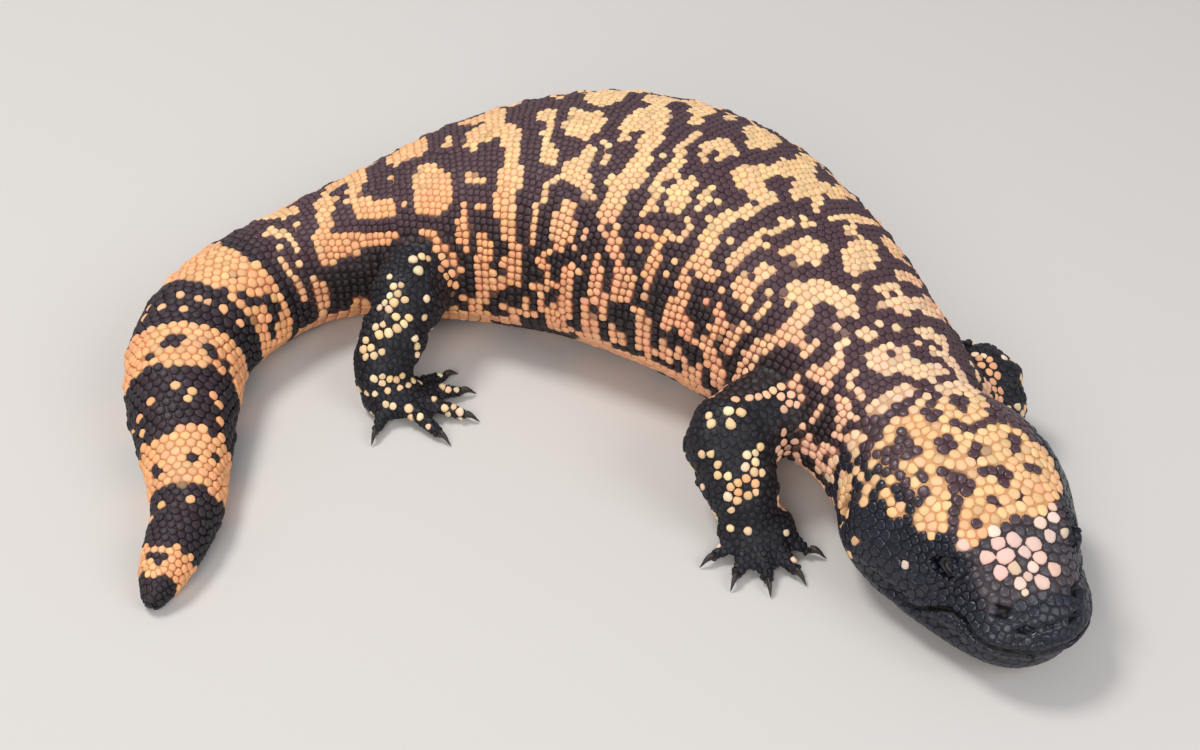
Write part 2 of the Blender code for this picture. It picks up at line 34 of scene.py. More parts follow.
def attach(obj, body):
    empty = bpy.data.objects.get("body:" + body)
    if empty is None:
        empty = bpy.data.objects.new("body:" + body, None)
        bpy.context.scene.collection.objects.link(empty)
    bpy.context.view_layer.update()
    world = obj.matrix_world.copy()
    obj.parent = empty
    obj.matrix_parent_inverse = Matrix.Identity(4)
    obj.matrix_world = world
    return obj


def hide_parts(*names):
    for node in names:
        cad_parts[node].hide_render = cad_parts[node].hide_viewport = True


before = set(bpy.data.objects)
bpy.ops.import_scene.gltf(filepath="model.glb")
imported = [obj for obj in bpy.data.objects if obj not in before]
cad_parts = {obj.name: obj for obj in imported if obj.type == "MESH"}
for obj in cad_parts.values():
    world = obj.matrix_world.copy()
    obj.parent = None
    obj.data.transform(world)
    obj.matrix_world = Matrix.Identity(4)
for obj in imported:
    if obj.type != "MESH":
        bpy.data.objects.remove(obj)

log = logging.getLogger("gila_monster")

MM = 0.001
# Moves the places of the tables below to where the frame has the solids.
SHIFT = np.array([3.7, -0.45, 0.0])
SEED = 20
# Rows worked on at a time.
BATCH = 4000
# Pixels of the picture to a millimetre, at the trunk, on the limbs and snout,
# and on the crown.
TRUNK_SCALE = 3.7
BEAD_SCALE = 3.95
CROWN_SCALE = 4.1


class Region(Enum):
    """The parts of the body that are beaded in ways of their own."""

    TRUNK = "trunk"
    TAIL = "tail"
    HEAD = "head"
    ARM_RIGHT = "arm_right"
    ARM_LEFT = "arm_left"
    LEG_RIGHT = "leg_right"
    LEG_LEFT = "leg_left"


class Tone(Enum):
    """Colours of the hide, as linear red, green and blue. Some also hold painted light, as noted
    beside them.
    """

    CREAM = (0.86, 0.57, 0.295)
    BUTTER = (0.87, 0.545, 0.27)
    ORANGE = (0.86, 0.41, 0.18)
    SALMON = (0.87, 0.43, 0.23)
    PINK = (0.83, 0.61, 0.51)
    PALE = (0.88, 0.68, 0.45)
    # Dark of the back and crown, made lighter than the flank's black by painted sheen.
    PLUM = (0.078, 0.038, 0.046)
    SOOT = (0.024, 0.014, 0.015)
    INK = (0.010, 0.009, 0.014)
    # Near black with a painted bluish sheen, the sky's reflection on the snout and cheeks.
    BLUE_SHEEN_BLACK = (0.009, 0.010, 0.020)
    SLATE = (0.060, 0.048, 0.056)


def blend_tones(first: np.ndarray, second: np.ndarray, share: np.ndarray) -> np.ndarray:
    """Mixes two colours.

    Args:
        first: Colour or colours, the last axis holding three values.
        second: Colour or colours to mix in.
        share: Share of the second colour, nought to one, one for each row.

    Returns:
        The mixed colours.
    """
    share = np.clip(np.asarray(share, float), 0.0, 1.0)[..., None]
    return np.asarray(first) * (1.0 - share) + np.asarray(second) * share


def smooth_step(low: float, high: float, value: np.ndarray) -> np.ndarray:
    """Rises smoothly from nought at low to one at high."""
    f = np.clip((np.asarray(value, float) - low) / (high - low), 0.0, 1.0)
    return f * f * (3.0 - 2.0 * f)


def unit(vectors: np.ndarray) -> np.ndarray:
    """Scales each row to length one."""
    length = np.linalg.norm(vectors, axis=-1, keepdims=True)
    return vectors / np.maximum(length, 1e-9)


def cloud(points: np.ndarray, size: float, offset: float = 0.0) -> np.ndarray:
    """Seeded smooth noise at each point.

    Args:
        points: Places in millimetres.
        size: Width of one swell of the noise in millimetres.
        offset: Moves the pattern, for a second pattern of the same size.

    Returns:
        One value for each point, from about -1 to 1.
    """
    scaled = np.asarray(points, float) / size + offset
    return np.array([noise.noise(Vector(p)) for p in scaled])


def link_mesh(mesh: bpy.types.Mesh) -> bpy.types.Object:
    """Puts a mesh into the scene as an object of the same name."""
    obj = bpy.data.objects.new(mesh.name, mesh)
    bpy.context.scene.collection.objects.link(obj)
    return obj


def mesh_from(work: bmesh.types.BMesh, name: str, smooth: bool = True) -> bpy.types.Mesh:
    """Turns a finished bmesh into a mesh and frees it.

    Args:
        work: The bmesh.
        name: The mesh's name.
        smooth: Whether its faces are shaded smooth.

    Returns:
        The mesh.
    """
    mesh = bpy.data.meshes.new(name)
    work.to_mesh(mesh)
    work.free()
    mesh.polygons.foreach_set("use_smooth", [smooth] * len(mesh.polygons))
    return mesh


def points_of(mesh: bpy.types.Mesh) -> np.ndarray:
    """Returns a mesh's points in millimetres."""
    points = np.empty(len(mesh.vertices) * 3)
    mesh.vertices.foreach_get("co", points)
    return points.reshape(-1, 3) / MM


def corners_of(node: str) -> np.ndarray:
    """Returns the corners of one of the frame's solids, each once."""
    return np.unique(np.round(points_of(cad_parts[node].data), 3), axis=0)


def mean_of_neighbours(points: np.ndarray, edges: np.ndarray) -> np.ndarray:
    """Returns for each point the mean of the points that edges join to it.

    Args:
        points: The points.
        edges: Pairs of numbers of joined points.

    Returns:
        One mean for each point.
    """
    count = np.maximum(np.bincount(edges.ravel(), minlength=len(points)), 1)
    mean = np.empty_like(points)
    for axis in range(3):
        total = np.bincount(edges[:, 0], points[edges[:, 1], axis], len(points))
        total += np.bincount(edges[:, 1], points[edges[:, 0], axis], len(points))
        mean[:, axis] = total / count
    return mean


def batches(count: int) -> list[slice]:
    """Cuts a long run of rows into short ones, so that arrays stay small."""
    return [slice(first, first + BATCH) for first in range(0, count, BATCH)]


def tree_of(places: np.ndarray) -> KDTree:
    """Builds a search tree of places, numbered in their own order."""
    tree = KDTree(len(places))
    for i, place in enumerate(places):
        tree.insert(Vector(place), i)
    tree.balance()
    return tree


@dataclass
class Curve:
    """A smooth curve through rows of a key and its values."""

    rows: tuple
    keys: np.ndarray = field(init=False)
    values: np.ndarray = field(init=False)
    slopes: np.ndarray = field(init=False)

    def __post_init__(self) -> None:
        """Splits the rows and finds the slope at each key."""
        table = np.array(self.rows, float)
        self.keys = table[:, 0]
        self.values = table[:, 1:]
        self.slopes = np.gradient(self.values, self.keys, axis=0)

    def at(self, key: np.ndarray) -> np.ndarray:
        """Returns the values at each key, one row for each.

        Args:
            key: Keys, held to the ends of the curve.

        Returns:
            The rows of values.
        """
        key = np.clip(np.atleast_1d(np.asarray(key, float)), self.keys[0], self.keys[-1])
        i = np.clip(np.searchsorted(self.keys, key, side="right") - 1, 0, len(self.keys) - 2)
        span = self.keys[i + 1] - self.keys[i]
        f = ((key - self.keys[i]) / span)[:, None]
        span = span[:, None]
        return (
            (2 * f**3 - 3 * f**2 + 1) * self.values[i]
            + (f**3 - 2 * f**2 + f) * span * self.slopes[i]
            + (3 * f**2 - 2 * f**3) * self.values[i + 1]
            + (f**3 - f**2) * span * self.slopes[i + 1]
        )


@dataclass
class BodyAxis:
    """The spine with the half width and back height of the body along it."""

    stations: tuple = (
        (-108.5, -89.5, 2.4, 6.0),
        (-107.0, -84.0, 5.4, 10.0),
        (-105.5, -76.0, 7.2, 12.8),
        (-104.0, -64.0, 8.6, 15.0),
        (-107.0, -46.0, 11.2, 19.5),
        (-112.0, -23.0, 15.0, 25.5),
        (-113.0, -4.0, 16.8, 28.0),
        (-105.5, 14.0, 18.2, 30.0),
        (-89.5, 31.0, 18.8, 31.5),
        (-72.0, 40.0, 22.5, 36.0),
        (-53.0, 43.5, 30.0, 44.0),
        (-28.0, 46.0, 38.5, 52.5),
        (1.5, 41.5, 43.5, 60.0),
        (29.0, 25.0, 42.5, 61.0),
        (49.5, 2.5, 36.5, 56.0),
        (64.5, -21.0, 30.5, 49.0),
        (74.5, -39.0, 26.5, 43.0),
        (79.5, -50.5, 25.5, 40.5),
    )
    waist_share: float = 0.43
    belly_drop: float = 1.06
    side_above: float = 0.93
    side_below: float = 0.8
    rise_above: float = 0.95
    fall_below: float = 0.78
    length: float = field(init=False)
    curve: Curve = field(init=False)

    def __post_init__(self) -> None:
        """Measures the spine and lays the smooth curve through it."""
        table = np.array(self.stations)
        steps = np.linalg.norm(np.diff(table[:, :2], axis=0), axis=1)
        keys = np.concatenate([[0.0], np.cumsum(steps)])
        self.length = float(keys[-1])
        self.curve = Curve(tuple(map(tuple, np.column_stack([keys, table]))))

    def directions(self, s: np.ndarray) -> tuple[np.ndarray, np.ndarray]:
        """Returns unit forward and unit left on the floor plan at each distance."""
        s = np.asarray(s)
        ahead = unit((self.curve.at(s + 0.5) - self.curve.at(s - 0.5))[:, :2])
        return ahead, np.column_stack([-ahead[:, 1], ahead[:, 0]])

    def section(self, s: np.ndarray) -> tuple:
        """Returns the spine's place, half width, back height, waist height and left way."""
        value = self.curve.at(s)
        _, left_way = self.directions(s)
        return value[:, :2], value[:, 2], value[:, 3], self.waist_share * value[:, 3], left_way

    def place(self, s: np.ndarray, turn: np.ndarray) -> np.ndarray:
        """Returns places on the body.

        Args:
            s: Distances along the spine from the tail tip.
            turn: Degrees round from the ridge of the back, left positive.

        Returns:
            One place for each pair.
        """
        s, turn = np.broadcast_arrays(*np.atleast_1d(np.asarray(s, float), np.asarray(turn, float)))
        spine, half, top, waist, left_way = self.section(s)
        angle = np.radians(90.0 - np.abs(turn))
        c = np.abs(np.cos(angle))
        q = np.sin(angle)
        upper = q >= 0
        above = waist + (top - waist) * np.abs(q) ** self.rise_above
        below = waist - self.belly_drop * waist * np.abs(q) ** self.fall_below
        up = np.where(upper, above, below)
        out = half * np.where(upper, c**self.side_above, c**self.side_below) * np.sign(turn)
        spot = spine + left_way * out[:, None]
        return np.column_stack([spot, np.maximum(up, 0.0)]) + SHIFT

    def coordinates(self, points: np.ndarray) -> tuple[np.ndarray, np.ndarray]:
        """Finds the body's own coordinates of places on or near its skin.

        Args:
            points: Places in millimetres.

        Returns:
            Distance along the spine, and turn in degrees, for each place.
        """
        keys = np.arange(0.0, self.length + 0.5, 1.0)
        spine = self.curve.at(keys)[:, :2] + SHIFT[:2]
        flat = np.asarray(points, float)[:, :2]
        s = np.empty(len(flat))
        for part in batches(len(flat)):
            gap = ((flat[part, None, :] - spine[None, :, :]) ** 2).sum(2)
            s[part] = keys[gap.argmin(1)]
        for _ in range(2):
            ahead, _ = self.directions(s)
            centre = self.curve.at(s)[:, :2] + SHIFT[:2]
            s = np.clip(s + ((flat - centre) * ahead).sum(1), 0.0, self.length)
        spine, half, top, waist, left_way = self.section(s)
        side = ((flat - spine - SHIFT[:2]) * left_way).sum(1)
        up = np.asarray(points, float)[:, 2]
        upper = up >= waist
        c = np.clip(np.abs(side) / half, 0.0, 1.0)
        c = np.where(upper, c ** (1 / self.side_above), c ** (1 / self.side_below))
        high = np.clip((up - waist) / (top - waist), 0.0, 1.0) ** (1 / self.rise_above)
        low = np.clip((waist - up) / (self.belly_drop * waist), 0.0, 1.0)
        low = low ** (1 / self.fall_below)
        q = np.where(upper, high, -low)
        turn = 90.0 - np.degrees(np.arctan2(q, c))
        return s, turn * np.where(side < 0, -1.0, 1.0)


@dataclass
class HeadForm:
    """The head's place, and where its openings and edges lie on it."""

    origin: tuple = (79.5, -50.5)
    heading: float = -70.0
    mouth_line: tuple = (
        (0, 11.0), (30, 9.6), (38, 9.4), (42, 10.8), (46, 14.1),
        (49, 15.9), (52, 16.3), (56, 15.0), (60, 14.1), (66.8, 13.8),
    )
    mouth_corner: float = 39.0
    eye: tuple = (44.0, 14.1, 25.0)
    eye_radius: float = 2.9
    nostril: tuple = (57.6, 9.6, 21.4)
    snout_slit: tuple = (62.8, 6.2, 18.9)
    ear: tuple = (14.0, 27.0, 19.0)
    base: np.ndarray = field(init=False)
    ahead: np.ndarray = field(init=False)
    left: np.ndarray = field(init=False)
    mouth: Curve = field(init=False)

    def __post_init__(self) -> None:
        """Finds the head's directions on the floor plan."""
        heading = math.radians(self.heading)
        self.base = np.array([*self.origin, 0.0]) + SHIFT
        self.ahead = np.array([math.cos(heading), math.sin(heading), 0.0])
        self.left = np.array([-self.ahead[1], self.ahead[0], 0.0])
        self.mouth = Curve(self.mouth_line)

    def place(self, forward: float, out: float, up: float) -> np.ndarray:
        """Turns a place measured on the head into a place in the room."""
        return self.base + self.ahead * forward + self.left * out + np.array([0.0, 0.0, up])

    def measure(self, points: np.ndarray) -> np.ndarray:
        """Returns (forward, out, up) on the head for each place."""
        from_base = np.asarray(points, float) - self.base
        return np.column_stack([from_base @ self.ahead, from_base @ self.left, from_base[:, 2]])

    def sides(self, points: np.ndarray) -> tuple[np.ndarray, np.ndarray, np.ndarray]:
        """Returns forward, out to either side, and up for each place."""
        forward, out, up = self.measure(points).T
        return forward, np.abs(out), up


@dataclass(frozen=True)
class Limb:
    """Joints of one limb: each a place, and the radius where it has one."""

    region: Region
    root: tuple
    bend: tuple
    wrist: tuple
    palm: tuple
    prefix: str

    def joints(self) -> np.ndarray:
        """Returns the joints' places, from the root to the middle of the foot."""
        rows = np.array([self.root[:3], self.bend[:3], self.wrist[:3], (*self.palm[:2], 4.0)])
        return rows + SHIFT

    def sole(self) -> np.ndarray:
        """Returns the middle of the foot on the floor plan."""
        return np.array(self.palm[:2]) + SHIFT[:2]

    def along(self, points: np.ndarray) -> np.ndarray:
        """Returns how far down the limb each place is, in joints from the root.

        Args:
            points: Places on the limb.

        Returns:
            Joints passed, with the share of the next one.
        """
        joints = self.joints()
        best = np.full(len(points), 1e9)
        value = np.zeros(len(points))
        for i in range(len(joints) - 1):
            span = joints[i + 1] - joints[i]
            f = np.clip(((points - joints[i]) @ span) / (span @ span), 0.0, 1.0)
            gap = np.linalg.norm(points - joints[i] - f[:, None] * span, axis=1)
            nearer = gap < best
            best[nearer] = gap[nearer]
            value[nearer] = i + f[nearer]
        return value


LIMBS = (
    Limb(
        Region.ARM_RIGHT,
        (50, -33, 22, 12), (31.5, -50, 19.5, 12), (37.5, -63, 9, 8.6), (39.5, -65, 0),
        "right_hand",
    ),
    Limb(
        Region.ARM_LEFT,
        (86, -16, 15.5, 10.5), (103.5, -23.5, 16.5, 10.8), (105, -34.5, 9, 7.4), (109, -37, 0),
        "left_hand",
    ),
    Limb(
        Region.LEG_RIGHT,
        (-50, 27, 21, 12.5), (-54, 4.5, 21.5, 10.8), (-61, -11, 9.5, 8), (-57.5, -13.5, 0),
        "right_foot",
    ),
    Limb(
        Region.LEG_LEFT,
        (-53, 58, 20, 12.5), (-56, 76, 18.5, 10.5), (-64, 91, 9, 7.8), (-60, 94, 0),
        "left_foot",
    ),
)

TRUNK_NODES = ("hips", "torso_rear", "torso_front", "shoulders", "neck")
TAIL_NODES = ("tail_tip", "tail_middle", "tail_root")
LIMB_NODES = {
    Region.ARM_RIGHT: ("right_upper_arm", "right_forearm", "right_hand"),
    Region.ARM_LEFT: ("left_upper_arm", "left_forearm", "left_hand"),
    Region.LEG_RIGHT: ("right_thigh", "right_shank", "right_foot"),
    Region.LEG_LEFT: ("left_thigh", "left_shank", "left_foot"),
}
FLESH = TAIL_NODES + TRUNK_NODES + ("head",) + sum(LIMB_NODES.values(), ())


def within(regions: np.ndarray, *wanted: Region) -> np.ndarray:
    """Returns which of the regions are among the wanted ones."""
    return np.array([region in wanted for region in regions])


def region_of(node: str) -> Region:
    """Returns the region that a node of flesh belongs to.

    Args:
        node: The node's name.

    Returns:
        Its region.
    """
    if node in TAIL_NODES:
        return Region.TAIL
    if node in TRUNK_NODES:
        return Region.TRUNK
    if node == "head":
        return Region.HEAD
    return next(region for region, names in LIMB_NODES.items() if node in names)


# Light patches of the trunk. Each is a string of overlapping discs, read off
# the photograph in its own 1200 by 750 frame: across, down and radius of the
# first disc, then of the next.
PATCHES = (
    # Hips and the root of the tail.
    (316, 283, 6, 322, 294, 9, 323, 308, 8), (360, 303, 8),
    (268, 216, 3, 285, 211, 5, 293, 208, 4),
    (268, 231, 3, 283, 233, 4, 292, 240, 3, 296, 249, 3), (295, 226, 4),
    (284, 260, 3, 290, 270, 4, 298, 283, 5, 306, 298, 6), (297, 265, 3), (280, 250, 3),
    (355, 166, 7, 356, 178, 10, 353, 193, 7),
    (340, 182, 6, 332, 190, 7, 323, 205, 9, 324, 222, 8, 323, 240, 10, 328, 258, 8),
    (335, 240, 10, 352, 240, 10, 372, 240, 6, 396, 237, 4), (335, 252, 8, 352, 252, 7),
    (352, 200, 6, 364, 208, 11, 376, 208, 11, 388, 208, 11), (393, 178, 4),
    (394, 158, 6, 406, 148, 10, 417, 145, 11), (327, 295, 6),
    # Round blotch and the long hook ahead of it.
    (428, 178, 16, 437, 184, 17, 432, 198, 20), (448, 141, 6),
    (460, 120, 3, 480, 115, 6, 498, 112, 7), (470, 138, 7, 485, 130, 9, 500, 127, 9),
    (471, 149, 4),
    (510, 130, 9, 511, 150, 9, 512, 167, 11, 507, 185, 13, 504, 203, 11, 505, 221, 8,
     506, 236, 4), (470, 172, 5, 473, 181, 4), (482, 181, 4), (466, 205, 3), (482, 206, 4),
    (403, 205, 2), (541, 115, 6, 550, 114, 7),
    (550, 118, 7, 548, 134, 5, 548, 148, 6, 551, 158, 9), (555, 180, 4),
    (547, 184, 3, 546, 194, 3, 541, 202, 4, 537, 207, 3),
    # Flank ahead of the hind leg.
    (420, 229, 2, 431, 234, 6, 442, 249, 9, 451, 265, 10, 456, 280, 7, 453, 289, 3),
    (459, 225, 4, 467, 215, 4, 465, 229, 7, 464, 240, 5), (467, 250, 4),
    (483, 239, 7, 485, 262, 8, 485, 282, 8, 486, 300, 7, 478, 309, 6, 468, 301, 5),
    (456, 308, 4), (496, 288, 6, 506, 280, 7, 514, 272, 8, 519, 285, 4),
    (507, 262, 6, 511, 270, 9, 516, 258, 6, 517, 248, 5),
    (514, 224, 3, 513, 238, 3, 514, 246, 4), (534, 212, 2, 532, 228, 3, 531, 243, 4),
    (547, 251, 3, 542, 259, 4, 545, 270, 5, 546, 281, 3), (536, 288, 5), (527, 303, 5),
    (506, 307, 5, 511, 313, 3, 525, 314, 2, 536, 315, 2),
    (549, 288, 4, 558, 285, 4, 566, 278, 5, 567, 270, 6), (543, 298, 3, 544, 309, 4),
    (556, 298, 4, 555, 312, 11, 563, 307, 10, 552, 318, 8),
    # Rear half of the back.
    (556, 88, 9, 561, 92, 6), (592, 93, 9, 605, 94, 10, 620, 90, 9),
    (573, 125, 10, 583, 123, 15, 595, 119, 11, 603, 120, 5), (576, 112, 5), (604, 140, 4),
    (607, 147, 3, 606, 155, 4, 601, 164, 3),
    (589, 151, 6, 585, 161, 8, 575, 166, 10, 568, 172, 7, 579, 180, 6),
    (589, 178, 2, 586, 188, 4, 584, 200, 3), (595, 198, 4),
    (648, 95, 4, 660, 97, 8, 680, 95, 7, 700, 98, 9, 712, 107, 6), (700, 105, 11, 697, 117, 7),
    (660, 106, 9, 658, 118, 12, 640, 118, 12, 626, 124, 8, 624, 135, 4),
    (654, 130, 11, 648, 145, 9, 640, 160, 10, 634, 172, 12, 628, 181, 11, 616, 184, 10,
     615, 197, 9, 608, 210, 11),
    (697, 132, 5, 688, 140, 4, 682, 148, 5, 679, 158, 7, 671, 168, 6, 664, 173, 6, 657, 183, 6,
     655, 195, 6, 650, 205, 6, 645, 212, 4), (662, 154, 3),
    (680, 180, 6, 685, 183, 8, 680, 192, 10, 673, 202, 10, 672, 211, 4), (694, 181, 4),
    (710, 187, 4, 704, 195, 5, 698, 207, 4),
    # Rear half of the near flank.
    (567, 207, 9, 563, 222, 12, 561, 238, 11, 556, 249, 5),
    (567, 272, 5, 565, 285, 6, 562, 300, 7, 566, 310, 7, 562, 320, 6), (575, 251, 4),
    (583, 231, 2, 582, 237, 2), (582, 260, 3), (582, 274, 3),
    (606, 222, 8, 612, 235, 8, 614, 246, 8, 617, 258, 6, 618, 270, 6, 615, 283, 8, 615, 298, 7),
    (595, 258, 5, 596, 270, 6, 595, 285, 7, 597, 299, 8, 600, 307, 7),
    (585, 303, 4, 587, 315, 6, 586, 327, 8, 592, 333, 5),
    (631, 272, 4, 629, 285, 3, 628, 300, 4), (637, 237, 3), (645, 230, 6, 650, 234, 4),
    (655, 248, 7, 651, 262, 9, 648, 276, 7, 646, 287, 4), (638, 246, 3), (646, 300, 3),
    (635, 311, 4, 641, 317, 7, 642, 330, 8, 644, 345, 7, 648, 356, 6), (664, 276, 3),
    (677, 259, 3), (673, 236, 5), (665, 232, 2, 657, 240, 3),
    (689, 218, 3, 686, 228, 4, 683, 237, 3), (710, 214, 3),
    (680, 316, 8, 685, 330, 8, 690, 342, 6), (663, 340, 3, 665, 355, 4, 668, 363, 4),
    (677, 348, 3, 682, 358, 3, 687, 370, 4, 693, 379, 4),
    (612, 330, 4, 617, 338, 6, 623, 344, 4), (603, 317, 3), (700, 370, 3, 697, 381, 3),
    # Front half of the back.
    (752, 131, 9, 754, 140, 8, 765, 136, 12, 776, 135, 6),
    (732, 115, 6, 742, 110, 4, 752, 108, 3), (720, 142, 7, 708, 150, 9, 704, 160, 5),
    (720, 142, 7, 732, 149, 6, 722, 154, 5),
    (740, 172, 9, 757, 172, 9, 772, 168, 7, 788, 165, 8, 805, 165, 12, 806, 181, 11, 797, 192, 7),
    (735, 184, 4, 748, 182, 8, 757, 189, 9),
    (775, 196, 6, 760, 197, 10, 752, 205, 8, 738, 212, 7, 725, 219, 8, 713, 231, 9, 705, 244, 9,
     697, 258, 9, 688, 270, 9, 683, 281, 8, 682, 294, 7, 673, 305, 9, 668, 318, 8, 665, 330, 5),
    (700, 266, 10, 711, 274, 7), (815, 185, 8, 818, 199, 7, 818, 206, 3),
    (825, 187, 6, 840, 191, 6, 855, 194, 4), (720, 204, 3), (728, 238, 3),
    (790, 220, 6, 782, 226, 7, 772, 230, 4, 760, 233, 4, 750, 243, 6, 742, 252, 7, 734, 260, 7,
     728, 268, 4), (803, 221, 3, 811, 222, 4),
    (833, 216, 4, 842, 215, 5, 855, 217, 4, 865, 219, 4, 875, 223, 3),
    (849, 229, 3, 855, 229, 3),
    (778, 249, 4, 792, 248, 7, 805, 247, 11, 817, 247, 10, 815, 256, 7), (798, 262, 5),
    (858, 256, 16, 863, 254, 16), (862, 241, 7), (766, 247, 4),
    (772, 268, 6, 762, 269, 9, 752, 280, 10, 742, 287, 11, 744, 300, 8, 743, 307, 5),
    (719, 290, 3), (766, 293, 4), (766, 303, 4, 760, 311, 5, 753, 318, 4),
    # Shoulder.
    (706, 303, 5),
    (719, 303, 3, 716, 313, 6, 720, 321, 8, 713, 333, 7, 704, 340, 5, 706, 350, 6, 712, 362, 7,
     716, 375, 7, 718, 388, 5, 718, 395, 3),
    (748, 328, 4, 740, 328, 5, 735, 333, 6, 728, 343, 6, 725, 355, 4),
    (795, 291, 12, 788, 296, 8),
    (805, 290, 12, 820, 289, 11, 834, 292, 10, 846, 302, 9, 852, 309, 7, 842, 313, 6),
    (803, 305, 9, 799, 318, 10, 789, 329, 11, 775, 338, 9, 761, 345, 8, 752, 355, 9,
     743, 368, 8, 740, 382, 8), (798, 338, 9, 804, 351, 6, 813, 344, 4),
    (739, 388, 8, 755, 391, 6, 775, 392, 7, 793, 388, 9, 798, 397, 8, 790, 405, 9, 782, 412, 9,
     785, 423, 6), (795, 375, 5), (833, 328, 4),
    (812, 372, 9, 822, 374, 9, 832, 367, 7, 839, 355, 6, 841, 343, 5, 846, 335, 4),
    (827, 385, 3, 823, 391, 2), (862, 330, 5, 865, 335, 6, 874, 337, 4),
    (852, 370, 4, 848, 380, 5, 847, 387, 3), (860, 390, 4, 857, 397, 4),
    (836, 401, 5, 845, 402, 5, 842, 412, 8, 838, 425, 6, 836, 435, 4),
    (820, 405, 3, 816, 414, 4, 812, 421, 3), (859, 284, 4), (803, 428, 3),
    # Neck.
    (884, 238, 4, 896, 245, 6, 905, 255, 6, 915, 264, 5, 922, 270, 4),
    (900, 273, 3, 910, 277, 4, 920, 281, 3),
    (878, 284, 5, 896, 284, 6, 893, 294, 8, 900, 302, 10, 905, 309, 7),
    (880, 305, 4, 890, 303, 6), (912, 301, 7, 925, 303, 7, 937, 312, 6, 944, 317, 4),
    (878, 320, 3), (899, 327, 5), (922, 327, 4, 932, 332, 5, 942, 338, 4, 950, 345, 3),
    (916, 342, 4), (934, 347, 3, 944, 350, 4, 950, 357, 5, 957, 362, 5, 962, 370, 4),
    (866, 354, 4, 875, 353, 9, 888, 354, 11, 900, 352, 11, 905, 364, 12, 920, 370, 9,
     935, 369, 8, 944, 369, 4), (875, 366, 6, 890, 367, 7), (906, 347, 6),
    (868, 405, 6, 873, 409, 8, 882, 403, 10, 893, 395, 10, 905, 388, 8, 914, 387, 4),
    (919, 400, 2, 925, 400, 2), (965, 376, 5, 968, 382, 3), (853, 418, 3),
    (940, 388, 4, 950, 390, 6, 965, 388, 5, 975, 395, 6, 980, 405, 6, 978, 416, 6, 965, 418, 8,
     952, 416, 8, 945, 405, 8, 945, 395, 6), (975, 405, 8, 972, 412, 8),
    (920, 415, 8, 905, 425, 9, 892, 434, 8, 881, 447, 7, 874, 458, 6, 871, 465, 4),
    (925, 411, 8, 912, 418, 9),
    # Side of the neck, down to the armpit.
    (810, 438, 2, 800, 438, 3, 803, 443, 4, 815, 452, 9, 828, 455, 11, 824, 466, 12, 829, 474, 7),
    (815, 483, 2, 820, 491, 4), (831, 500, 4),
    (846, 476, 6, 846, 490, 7, 845, 502, 6, 846, 511, 3),
    (849, 438, 7, 857, 437, 6, 853, 448, 5, 852, 461, 3), (857, 467, 4), (863, 478, 4),
    (873, 483, 5, 866, 488, 4, 863, 500, 5), (775, 425, 4, 780, 436, 3, 783, 455, 3),
    (790, 470, 9, 795, 478, 7, 783, 482, 5), (796, 445, 2, 799, 460, 2, 801, 470, 2),
    (843, 525, 2), (856, 541, 3), (848, 552, 3),
)

# Dark spots inside those patches, in the same way.
SPOTS = (
    (344, 186, 3, 336, 193, 2), (345, 205, 4, 343, 215, 7, 350, 220, 6, 345, 226, 5),
    (711, 157, 3, 716, 154, 2), (769, 183, 4, 780, 183, 6, 786, 187, 5, 787, 177, 4),
    (822, 173, 4, 830, 176, 4, 841, 181, 3), (752, 204, 2), (691, 275, 2), (609, 227, 3),
    (751, 278, 2), (788, 358, 8, 776, 366, 9, 766, 377, 8), (777, 404, 2, 774, 402, 2),
    (893, 297, 2, 888, 299, 1), (891, 357, 1), (963, 396, 6, 959, 404, 4), (823, 460, 3),
    (606, 262, 5), (551, 299, 3), (676, 105, 7, 680, 115, 7),
)

# Light ground of the head's crown, the dark spots on it, and the light plates
# of the snout, in the same way.
CROWN = (
    (925, 428, 14, 945, 440, 16, 1000, 446, 24, 1033, 465, 18, 1045, 486, 16, 1032, 504, 13,
     1003, 508, 17, 975, 520, 17, 968, 536, 11),
    (925, 440, 20, 922, 462, 22, 925, 490, 16, 932, 518, 19),
    (955, 470, 30, 1000, 475, 30, 985, 495, 26), (886, 497, 8), (900, 512, 9),
    (966, 543, 8, 960, 547, 5), (885, 466, 4, 893, 469, 3), (886, 479, 5, 895, 481, 4),
    (905, 430, 9, 893, 440, 7),
)
CROWN_SPOTS = (
    (903, 438, 7, 912, 451, 8), (881, 453, 4, 893, 448, 4, 903, 447, 4), (920, 473, 7),
    (946, 446, 9), (976, 446, 6, 976, 457, 7), (946, 471, 5, 959, 482, 10, 972, 490, 5),
    (926, 495, 6, 918, 499, 4), (953, 499, 7, 953, 511, 6), (985, 469, 5, 1003, 476, 8),
    (1015, 440, 7, 1014, 451, 5), (1009, 436, 4), (1030, 466, 4, 1037, 469, 4),
    (1020, 496, 6, 1021, 501, 5), (992, 503, 4, 1000, 504, 4), (978, 523, 5), (1018, 522, 4),
    (955, 426, 4, 967, 430, 5, 985, 424, 4), (928, 413, 4, 934, 420, 4),
    (939, 534, 3, 948, 537, 3), (905, 484, 4, 912, 508, 4), (896, 461, 3, 888, 473, 3),
    (986, 448, 3),
)
SNOUT_PLATES = (
    (998, 543, 7), (1014, 539, 8), (1034, 544, 9), (1050, 536, 7), (1065, 533, 6), (985, 558, 8),
    (1006, 557, 9), (1025, 552, 6), (1040, 557, 7), (1014, 567, 7), (1033, 567, 5),
    (1054, 569, 8), (1001, 573, 8), (1020, 584, 6), (1042, 583, 8), (1028, 577, 4),
    (1054, 518, 6), (1040, 523, 6), (1053, 507, 4), (994, 532, 6), (963, 545, 7), (1025, 592, 3),
    (904, 565, 4),
)

